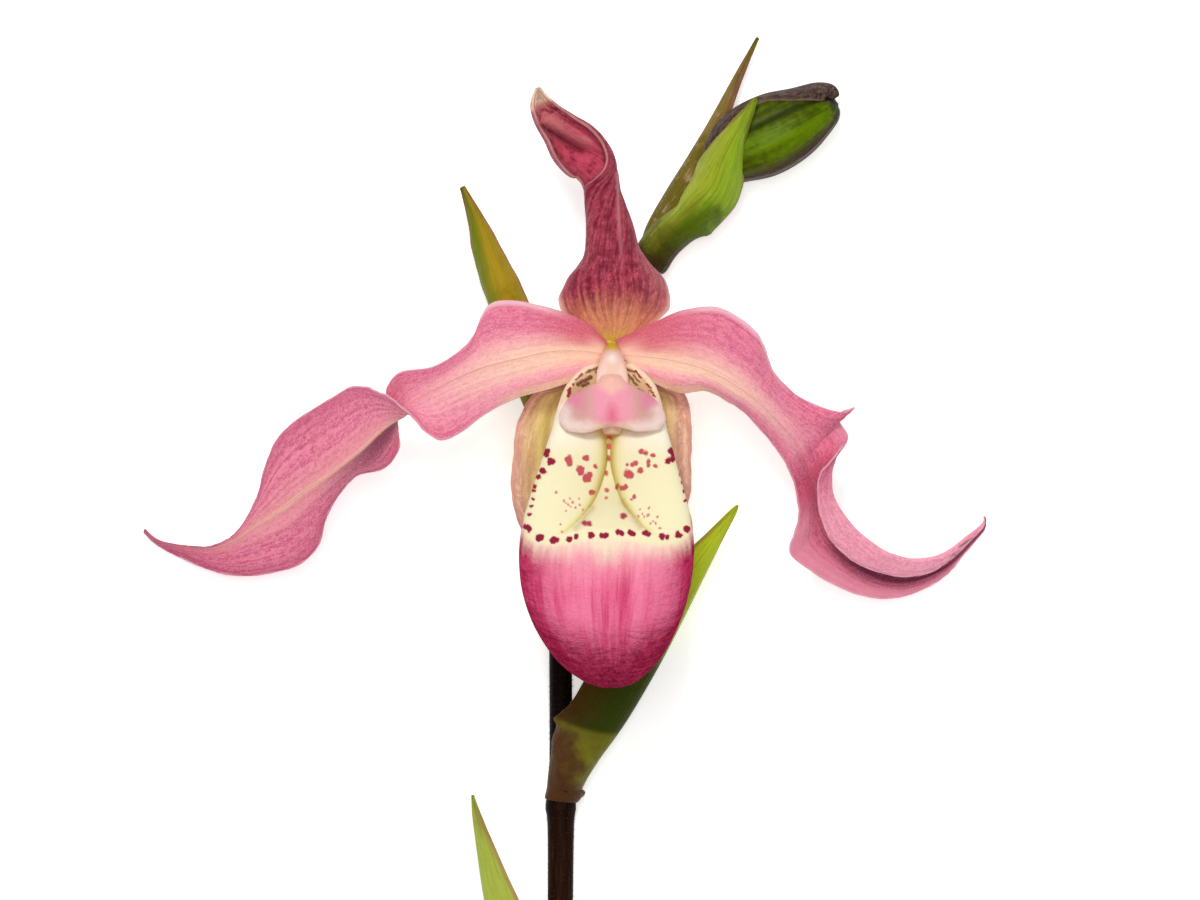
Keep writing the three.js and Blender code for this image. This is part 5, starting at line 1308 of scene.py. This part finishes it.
def rib_lines(grid, count, size, keel=0.0):
    """Raised veins that run the length of a blade, and a keel along its midrib."""
    across = np.linspace(-1, 1, grid.shape[1])[None]
    veins = size * np.cos(np.pi * across * count) * (1 - across**4)
    return veins + keel * np.exp(-((across / 0.05) ** 2)) + np.zeros(grid.shape[:2])


def set_faces(mesh, flip):
    """Marks the side of a petal that faces the lip, and keeps the right petal's dark fold colour, partly its
    own wine and partly painted shade, to that side.
    """
    front = read_numbers(mesh, "front")
    toward = 1 - front if flip else front
    add_numbers(mesh, "face", toward)
    channel = read_numbers(mesh, "channel") * toward
    mesh.attributes["channel"].data.foreach_set("value", channel.astype(np.float32))


def make_petals(material):
    blades = []
    for name, rows, phase in (("petal_left", LEFT_PETAL, 0.4), ("petal_right", RIGHT_PETAL, 2.1)):
        grid = rippled(net_grid(rows, *PETAL_STEPS), 0.12, 1.1, phase)
        relief = rib_lines(grid, 7, 0.03, keel=0.12 if name == "petal_left" else -0.06)
        blade = Blade(grid, PETAL_HALF, thin=0.35, soft=1.6, relief=relief, back_relief=-1.0)
        along, across = blade.values["along"], blade.values["across"]
        left = float(name == "petal_left")
        # Painted shade beside the left petal's midrib, where it folds past the twist.
        crease_shade = left * smooth(0.36, 0.42, along) * smooth(0.68, 0.5, along)
        crease_shade = crease_shade * smooth(0.0, 0.06, across) * smooth(0.8, 0.15, across)
        # Dark wine along the right petal's rolled groove: partly its own colour, partly painted shade inside
        # the fold.
        channel = (1 - left) * smooth(0.64, 0.76, along) * smooth(-0.42, -0.22, across)
        flap = (1 - left) * smooth(0.55, 0.64, along)
        mesh = blade.mesh(name + "_blade", {"channel": channel, "crease_shade": crease_shade, "flap": flap})
        set_faces(mesh, flip=name == "petal_left")
        add_piece(name + "_blade", mesh, material, "petal", name)
        blades.append(blade)
    return blades


def near_line(grid, line, width):
    """1 on a line of (x, y) points seen from the front, fading to 0 at width from it."""
    nearest = np.full(grid.shape[:2], 1e9)
    for (ax, ay), (bx, by) in zip(line[:-1], line[1:]):
        way = np.array((bx - ax, by - ay), float)
        gone = ((grid[..., 0] - ax) * way[0] + (grid[..., 1] - ay) * way[1]) / way.dot(way)
        gone = np.clip(gone, 0, 1)
        gap = np.hypot(grid[..., 0] - ax - gone * way[0], grid[..., 1] - ay - gone * way[1])
        nearest = np.minimum(nearest, gap)
    return smooth(width, 0, nearest)


SCOOP_TROUGH = ((-2.4, 51.2), (0.6, 49.4), (4.0, 47.6), (6.6, 45.8))
SCOOP_RIDGE = ((-1.8, 52.6), (1.4, 50.9), (4.4, 49.4), (6.6, 47.9))
TUBE_SEAM = ((8.1, 44.4), (8.4, 40.0), (8.7, 36.5), (9.0, 32.0), (9.8, 29.0))


def make_dorsal(material):
    stations = []
    for x, y, z, inset, radius, turn, roll in DORSAL:
        stations.append((x, y, z, inset, radius * math.radians(turn), turn, roll, 1))
    grid = rolled_grid(stations, *DORSAL_STEPS)
    bowl = smooth(0.62, 0.72, np.linspace(0, 1, len(grid)))[:, None]
    # The valley below the scoop's fold: sunk 1 mm, and painted dark as shade.
    shaded_trough = near_line(grid, SCOOP_TROUGH, 1.3) * bowl
    ridge = near_line(grid, SCOOP_RIDGE, 1.5) * bowl
    grid[..., 2] += 0.5 * ridge - 1.0 * shaded_trough
    seam = near_line(grid, TUBE_SEAM, 0.35) * smooth(29.5, 35.0, grid[..., 1])
    relief = rib_lines(grid, 8, 0.05, keel=-0.12) - 0.2 * seam
    blade = Blade(grid, SEPAL_HALF, thin=0.4, soft=1.2, relief=relief)
    mesh = blade.mesh("dorsal_sepal_blade", {"shaded_trough": shaded_trough, "ridge": ridge, "seam": seam})
    add_piece("dorsal_sepal_blade", mesh, material, "dorsal_sepal", "dorsal_sepal")
    return blade


def make_synsepal(material):
    grid = rippled(net_grid(SYNSEPAL, *SYNSEPAL_STEPS), 0.2, 0.9, 1.0)
    blade = Blade(grid, SEPAL_HALF, thin=0.4, soft=1.2, relief=rib_lines(grid, 9, 0.06))
    add_piece("synsepal_blade", blade.mesh("synsepal_blade"), material, "synsepal", "synsepal")
    return blade


def make_lip(material):
    grid = lip_grid(*LIP_STEPS)
    rows, columns = grid.shape[:2]
    gone = walk(grid, 0)
    crest_row = round(CREST_STEP * (rows - 1) / (len(LIP_BODY_STEPS) + CREST_STEP))
    below = gone - gone[crest_row]
    turn = np.repeat((np.arange(columns) / columns)[None], rows, axis=0)
    foreward = -np.cos(2 * np.pi * turn)
    flutes = 0.10 * np.cos(turn * 2 * np.pi * LIP_FLUTES)
    flutes = flutes * smooth(0.4, 1.6, below) * smooth(9, 3, below) * smooth(-0.2, 0.4, foreward)
    pleats = 0.05 * np.sin(turn * 2 * np.pi * LIP_PLEATS + 0.35 * below)
    pleats = pleats * smooth(12, 22, below) * smooth(34, 26, below)
    blade = Blade(
        grid, LIP_HALF, flutes + pleats, thin=0.5, soft=0.8, closed=True, capped=True, back_relief=1.0
    )
    inner = smooth(4.2, 0.8, gone)
    # Painted shade along the lobes' free edges, where they curl down into the slit.
    hem = smooth(2.6, 0.9, gone) * smooth(6.5, 5.5, grid[..., 1])
    extra = {"below_rim": below, "round": turn, "foreward": foreward, "inner": inner, "hem": hem}
    add_piece("lip_pouch", blade.mesh("lip_pouch", extra), material, "lip", "lip")
    return blade


def make_bracts(finishes):
    blades = {}
    for name, stations in (
        ("lower_bract", LOWER_BRACT),
        ("stem_bract", STEM_BRACT),
        ("flower_bract", FLOWER_BRACT),
        ("tip_bract", TIP_BRACT),
        ("bud_bract", BUD_BRACT),
    ):
        grid = rippled(rolled_grid(stations, *BRACT_STEPS), 0.08, 0.7, 0.8)
        relief = rib_lines(grid, 8, 0.03, keel=0.10)
        blade = Blade(grid, BRACT_HALF, thin=0.4, soft=1.0, relief=relief)
        for side in (blade.front, blade.back):
            side[..., 2] = np.maximum(side[..., 2], BRACT_LOWEST)
        add_piece(name + "_blade", blade.mesh(name + "_blade"), finishes[name], "bract", name)
        blades[name] = blade
    return blades


def make_shield(material):
    grid = net_grid(SHIELD, *SHIELD_STEPS)
    across = np.linspace(-1, 1, grid.shape[1])[None]
    along = np.linspace(0, 1, grid.shape[0])[:, None]
    ridge = 0.2 * np.exp(-((across / 0.2) ** 2)) * smooth(0.75, 0.3, along) * smooth(0.0, 0.25, along)
    dimple = -0.25 * np.exp(-((across / 0.10) ** 2) - ((along - 0.62) / 0.12) ** 2)
    grid[..., 2] -= SHIELD_SINK * smooth(0.2, 0.0, along)
    blade = Blade(grid, SHIELD_HALF, thin=0.5, soft=1.0, relief=ridge + dimple, back_relief=0.0)
    add_piece("staminode_shield", blade.mesh("staminode_shield"), material, "staminode", "staminode")


def stem_swell(at, turn):
    """Nine faint ribs that wind slowly round the stem."""
    return 1 + 0.012 * np.cos(9 * turn + 6 * at)


def ovary_swell(_, turn):
    """Six straight ribs."""
    return 1 + 0.05 * np.cos(6 * turn)


def column_swell(at, turn):
    """Wider near its base, and humped on top where the shield springs from it."""
    hump = np.maximum(0, -np.sin(turn)) ** 2 * math.exp(-(((at - 0.5) / 0.15) ** 2))
    return 1 + 0.15 * math.exp(-(((at - 0.3) / 0.16) ** 2)) + 0.9 * hump


def make_round_pieces(paints):
    stem = tube_mesh("stem_skin", STEM, *STEM_STEPS, stem_swell)
    add_piece("stem_skin", stem, paints["stem"], "stem", "stem")
    ovary = tube_mesh("ovary_skin", OVARY, *OVARY_STEPS, ovary_swell)
    add_piece("ovary_skin", ovary, paints["ovary"], "ovary", "ovary")
    column = tube_mesh("column_skin", COLUMN, *COLUMN_STEPS, column_swell)
    add_piece("column_skin", column, paints["column"], "column", "column")
    stalk = tube_mesh("bud_stalk_skin", BUD_STALK, *STALK_STEPS, ovary_swell)
    add_piece("bud_stalk_skin", stalk, paints["ovary"], "ovary", "bud_stalk")
    return stem, ovary


def bud_swell(at, turn):
    """Fourteen faint ribs, and a groove along the seam."""
    seam = np.exp(-((np.angle(np.exp(1j * (turn - SEAM_TURN))) / 0.10) ** 2))
    return 1 - 0.05 * seam * math.sin(math.pi * min(at, 1)) + 0.012 * np.cos(14 * turn)


def make_bud(body_paint, cap_material):
    body = tube_mesh("bud_body", BUD_BODY, *BUD_STEPS, bud_swell, sideways=(0.5, -0.86, 0))
    turn = read_numbers(body, "round")
    apart = np.abs(np.angle(np.exp(1j * (turn * 2 * np.pi - SEAM_TURN))))
    low = np.angle(np.exp(1j * turn * 2 * np.pi)) - 0.25
    add_numbers(body, "seam", np.exp(-((apart / 0.16) ** 2)))
    add_numbers(body, "keel", np.exp(-((low / 0.44) ** 2)))
    add_piece("bud_body", body, body_paint, "bud_green", "bud_lower_sepals")
    grid = rolled_grid(BUD_CAP, *CAP_STEPS)
    blade = Blade(grid, CAP_HALF, thin=0.4, soft=1.0, relief=rib_lines(grid, 4, 0.05))
    add_piece("bud_cap", blade.mesh("bud_cap"), cap_material, "bud_dark", "bud_upper_sepal")


# ------------------------------------------------------------------ hairs


class Tree:
    """A Geometry Nodes tree with named inputs."""

    def __init__(self, name):
        self.tree = bpy.data.node_groups.new(name, "GeometryNodeTree")
        self.face = self.tree.interface
        self.face.new_socket("Geometry", in_out="INPUT", socket_type="NodeSocketGeometry")
        self.face.new_socket("Geometry", in_out="OUTPUT", socket_type="NodeSocketGeometry")

    def input(self, name, kind):
        self.face.new_socket(name, in_out="INPUT", socket_type="NodeSocket" + kind)

    def node(self, kind, settings=None, values=None):
        node = self.tree.nodes.new(kind)
        for key, setting in (settings or {}).items():
            setattr(node, key, setting)
        for key, value in (values or {}).items():
            socket = node.inputs[key]
            if isinstance(value, bpy.types.NodeSocket):
                self.tree.links.new(value, socket)
            else:
                socket.default_value = value
        return node


def hair_tree():
    """Stands a thin cone on every point, leaning along the point's "out" direction."""
    tree = Tree("margin hairs")
    for name in ("Length", "Width", "Stray"):
        tree.input(name, "Float")
    tree.input("Seed", "Int")
    tree.input("Finish", "Material")
    source = tree.node("NodeGroupInput").outputs
    out = tree.node("GeometryNodeInputNamedAttribute", {"data_type": "FLOAT_VECTOR"}, {"Name": "out"})
    spread = {"Min": (-1, -1, -1), "Max": (1, 1, 1), "Seed": source["Seed"]}
    stray = tree.node("FunctionNodeRandomValue", {"data_type": "FLOAT_VECTOR"}, spread)
    scaled = {0: stray.outputs[0], "Scale": source["Stray"]}
    push = tree.node("ShaderNodeVectorMath", {"operation": "SCALE"}, scaled)
    way = tree.node("ShaderNodeVectorMath", {"operation": "ADD"}, {0: out.outputs[0], 1: push.outputs[0]})
    turn = tree.node("FunctionNodeAlignRotationToVector", {"axis": "Z"}, {"Vector": way.outputs[0]})
    cone = tree.node(
        "GeometryNodeMeshCone",
        None,
        {"Vertices": 3, "Radius Top": 0.0, "Radius Bottom": source["Width"], "Depth": source["Length"]},
    )
    shares = {2: SHORTEST_HAIR, 3: LONGEST_HAIR, "Seed": source["Seed"]}
    size = tree.node("FunctionNodeRandomValue", {"data_type": "FLOAT"}, shares)
    copies = tree.node(
        "GeometryNodeInstanceOnPoints",
        None,
        {
            "Points": source["Geometry"],
            "Instance": cone.outputs["Mesh"],
            "Rotation": turn.outputs[0],
            "Scale": size.outputs[1],
        },
    )
    real = tree.node("GeometryNodeRealizeInstances", None, {"Geometry": copies.outputs[0]})
    finish = {"Geometry": real.outputs[0], "Material": source["Finish"]}
    done = tree.node("GeometryNodeSetMaterial", None, finish)
    tree.node("NodeGroupOutput", None, {0: done.outputs[0]})
    return tree.tree


def grow_hairs(name, tree, points, outs, material, slot, length, width, stray, seed):
    carrier = bpy.data.meshes.new(name + "_roots")
    carrier.from_pydata([tuple(p) for p in points * MM], [], [])
    layer = carrier.attributes.new("out", "FLOAT_VECTOR", "POINT")
    layer.data.foreach_set("vector", outs.ravel().astype(np.float32))
    roots = bpy.data.objects.new(name + "_roots", carrier)
    bpy.context.scene.collection.objects.link(roots)
    grower = roots.modifiers.new("grow", "NODES")
    grower.node_group = tree
    sizes = {"Length": length * MM, "Width": width * MM, "Stray": stray, "Seed": seed, "Finish": material}
    for item in tree.interface.items_tree:
        if item.in_out == "INPUT" and item.name in sizes:
            grower[item.identifier] = sizes[item.name]
    bpy.context.view_layer.update()
    grown = roots.evaluated_get(bpy.context.evaluated_depsgraph_get())
    mesh = bpy.data.meshes.new_from_object(grown)
    bpy.data.objects.remove(roots)
    add_piece(name, mesh, material, slot)


def skin_points(mesh, spacing, seed):
    """Places scattered evenly over a mesh's faces, with the faces' directions."""
    count = len(mesh.polygons)
    centres, normals, areas = np.empty(count * 3), np.empty(count * 3), np.empty(count)
    mesh.polygons.foreach_get("center", centres)
    mesh.polygons.foreach_get("normal", normals)
    mesh.polygons.foreach_get("area", areas)
    draw = np.random.default_rng(seed)
    wanted = int(areas.sum() / (spacing * MM) ** 2)
    chosen = draw.choice(count, wanted, p=areas / areas.sum())
    places = centres.reshape(-1, 3)[chosen] / MM + draw.normal(0, spacing * 0.2, (wanted, 3))
    return places, normals.reshape(-1, 3)[chosen]


# ------------------------------------------------------------------ stage


def add_light(name, place, size, power, colour=(1, 1, 1)):
    data = bpy.data.lights.new(name, "AREA")
    data.shape, data.size, data.energy, data.color = "DISK", size, power, colour
    light = bpy.data.objects.new(name, data)
    bpy.context.scene.collection.objects.link(light)
    light.location = place
    way = Vector(LIGHT_AIM) - Vector(place)
    light.rotation_euler = way.to_track_quat("-Z", "Y").to_euler()


def make_stage():
    half = FLOOR_HALF
    corners = [(-half, -half, 0), (half, -half, 0), (half, half, 0), (-half, half, 0)]
    floor_mesh = bpy.data.meshes.new("floor")
    floor_mesh.from_pydata(corners, [], [(0, 1, 2, 3)])
    floor = bpy.data.objects.new("floor", floor_mesh)
    bpy.context.scene.collection.objects.link(floor)
    floor_mesh.materials.append(floor_paint())
    world = bpy.data.worlds.new("studio")
    bpy.context.scene.world = world
    world.use_nodes = True
    world.node_tree.nodes["Background"].inputs[0].default_value = (1, 1, 1, 1)
    world.node_tree.nodes["Background"].inputs[1].default_value = SKY
    add_light("overhead", OVERHEAD_PLACE, OVERHEAD_SIZE, OVERHEAD_WATTS)
    add_light("key", KEY_PLACE, KEY_SIZE, KEY_WATTS, KEY_TINT)
    bpy.context.scene.view_settings.view_transform = "Standard"


def make_camera():
    data = bpy.data.cameras.new("camera")
    data.lens, data.sensor_width = CAMERA_LENS, SENSOR_WIDTH
    data.clip_start, data.clip_end = 0.1, 20.0
    camera = bpy.data.objects.new("camera", data)
    bpy.context.scene.collection.objects.link(camera)
    distance = CAMERA_LENS / SENSOR_WIDTH * FRAME_WIDTH
    camera.location = (FRAME_CENTRE[0] * MM, FRAME_CENTRE[1] * MM, (distance + FOCUS_HEIGHT) * MM)
    bpy.context.scene.camera = camera


# ------------------------------------------------------------------ assembly

make_camera()
make_stage()

PETAL = petal_paint()
BRACT_FINISHES = {
    "lower_bract": bract_paint("lower bract", ("acba4a", "98a43a", "5a3c14", "b07c5a"), (0.1, 0.1)),
    "stem_bract": bract_paint(
        "stem bract",
        ("b4ca28", "74721a", "4c2a18", "7c5834"),
        (0.25, 0.46),
        # A painted shadow of the pouch falls across this bract.
        shade=(9.0, -20.5, 19.3, -31.0, -23.0),
        tilt=0.14,
    ),
    "flower_bract": bract_paint(
        "flower bract",
        ("aa921e", "7c700e", "4c3010", "b07058"),
        (0.1, 0.36),
        keel="8e9634",
        flank="6c820c",
    ),
    "tip_bract": bract_paint(
        "tip bract",
        ("86702c", "665c14", "4a2c20", "985850"),
        (0.14, 0.4),
        mottle=0.8,
        scurf=0.45,
    ),
    "bud_bract": bract_paint(
        "bud bract",
        ("8eae24", "4c6604", "36240a", "7a6820"),
        (0.2, 0.3),
        mottle=0.4,
        keel="8c6c28",
        flank="a0ae2a",
        scurf=0.06,
    ),
}
ROUND_PAINTS = {"stem": stem_paint(), "ovary": ovary_paint(), "column": column_paint()}

petals = make_petals(PETAL)
dorsal = make_dorsal(dorsal_paint())
lower = make_synsepal(synsepal_paint())
make_lip(lip_paint())
make_shield(shield_paint())
bracts = make_bracts(BRACT_FINISHES)
stem_mesh, ovary_mesh = make_round_pieces(ROUND_PAINTS)
make_bud(bud_paint(), cap_paint())

HAIRS = hair_tree()
PETAL_HAIR = hair_paint("petal hairs", "eab4c2", "dc8ca4")
WINE_HAIR = hair_paint("upper sepal hairs", "c88890", "a85a6c")
PALE_HAIR = hair_paint("pale hairs", "e8dcc0", "c8b890")
DARK_HAIR = hair_paint("stem hairs", "6a4a3a", "3c2418")
for number, (blade, name, slot, finish) in enumerate((
    (petals[0], "petal_left_hairs", "petal", PETAL_HAIR),
    (petals[1], "petal_right_hairs", "petal", PETAL_HAIR),
    (dorsal, "dorsal_sepal_hairs", "dorsal_sepal", WINE_HAIR),
    (lower, "synsepal_hairs", "synsepal", PETAL_HAIR),
)):
    points, outs = blade.margins(MARGIN_SPACING)
    grow_hairs(name, HAIRS, points, outs, finish, slot, *MARGIN_HAIR, MARGIN_SEED + number)
for number, (name, blade) in enumerate(bracts.items()):
    points, outs = blade.margins(BRACT_SPACING)
    points[:, 2] = np.maximum(points[:, 2], BRACT_HAIR_LOWEST)
    finish = (PALE_HAIR, "bract")
    grow_hairs(name + "_hairs", HAIRS, points, outs, *finish, *BRACT_HAIR, BRACT_SEED + number)
for number, (slot, mesh) in enumerate((("stem", stem_mesh), ("ovary", ovary_mesh))):
    points, outs = skin_points(mesh, SKIN_SPACING, PLACE_SEED + number)
    name = slot + "_hairs"
    grow_hairs(name, HAIRS, points, outs, DARK_HAIR, slot, *SKIN_HAIR, SKIN_SEED + number)
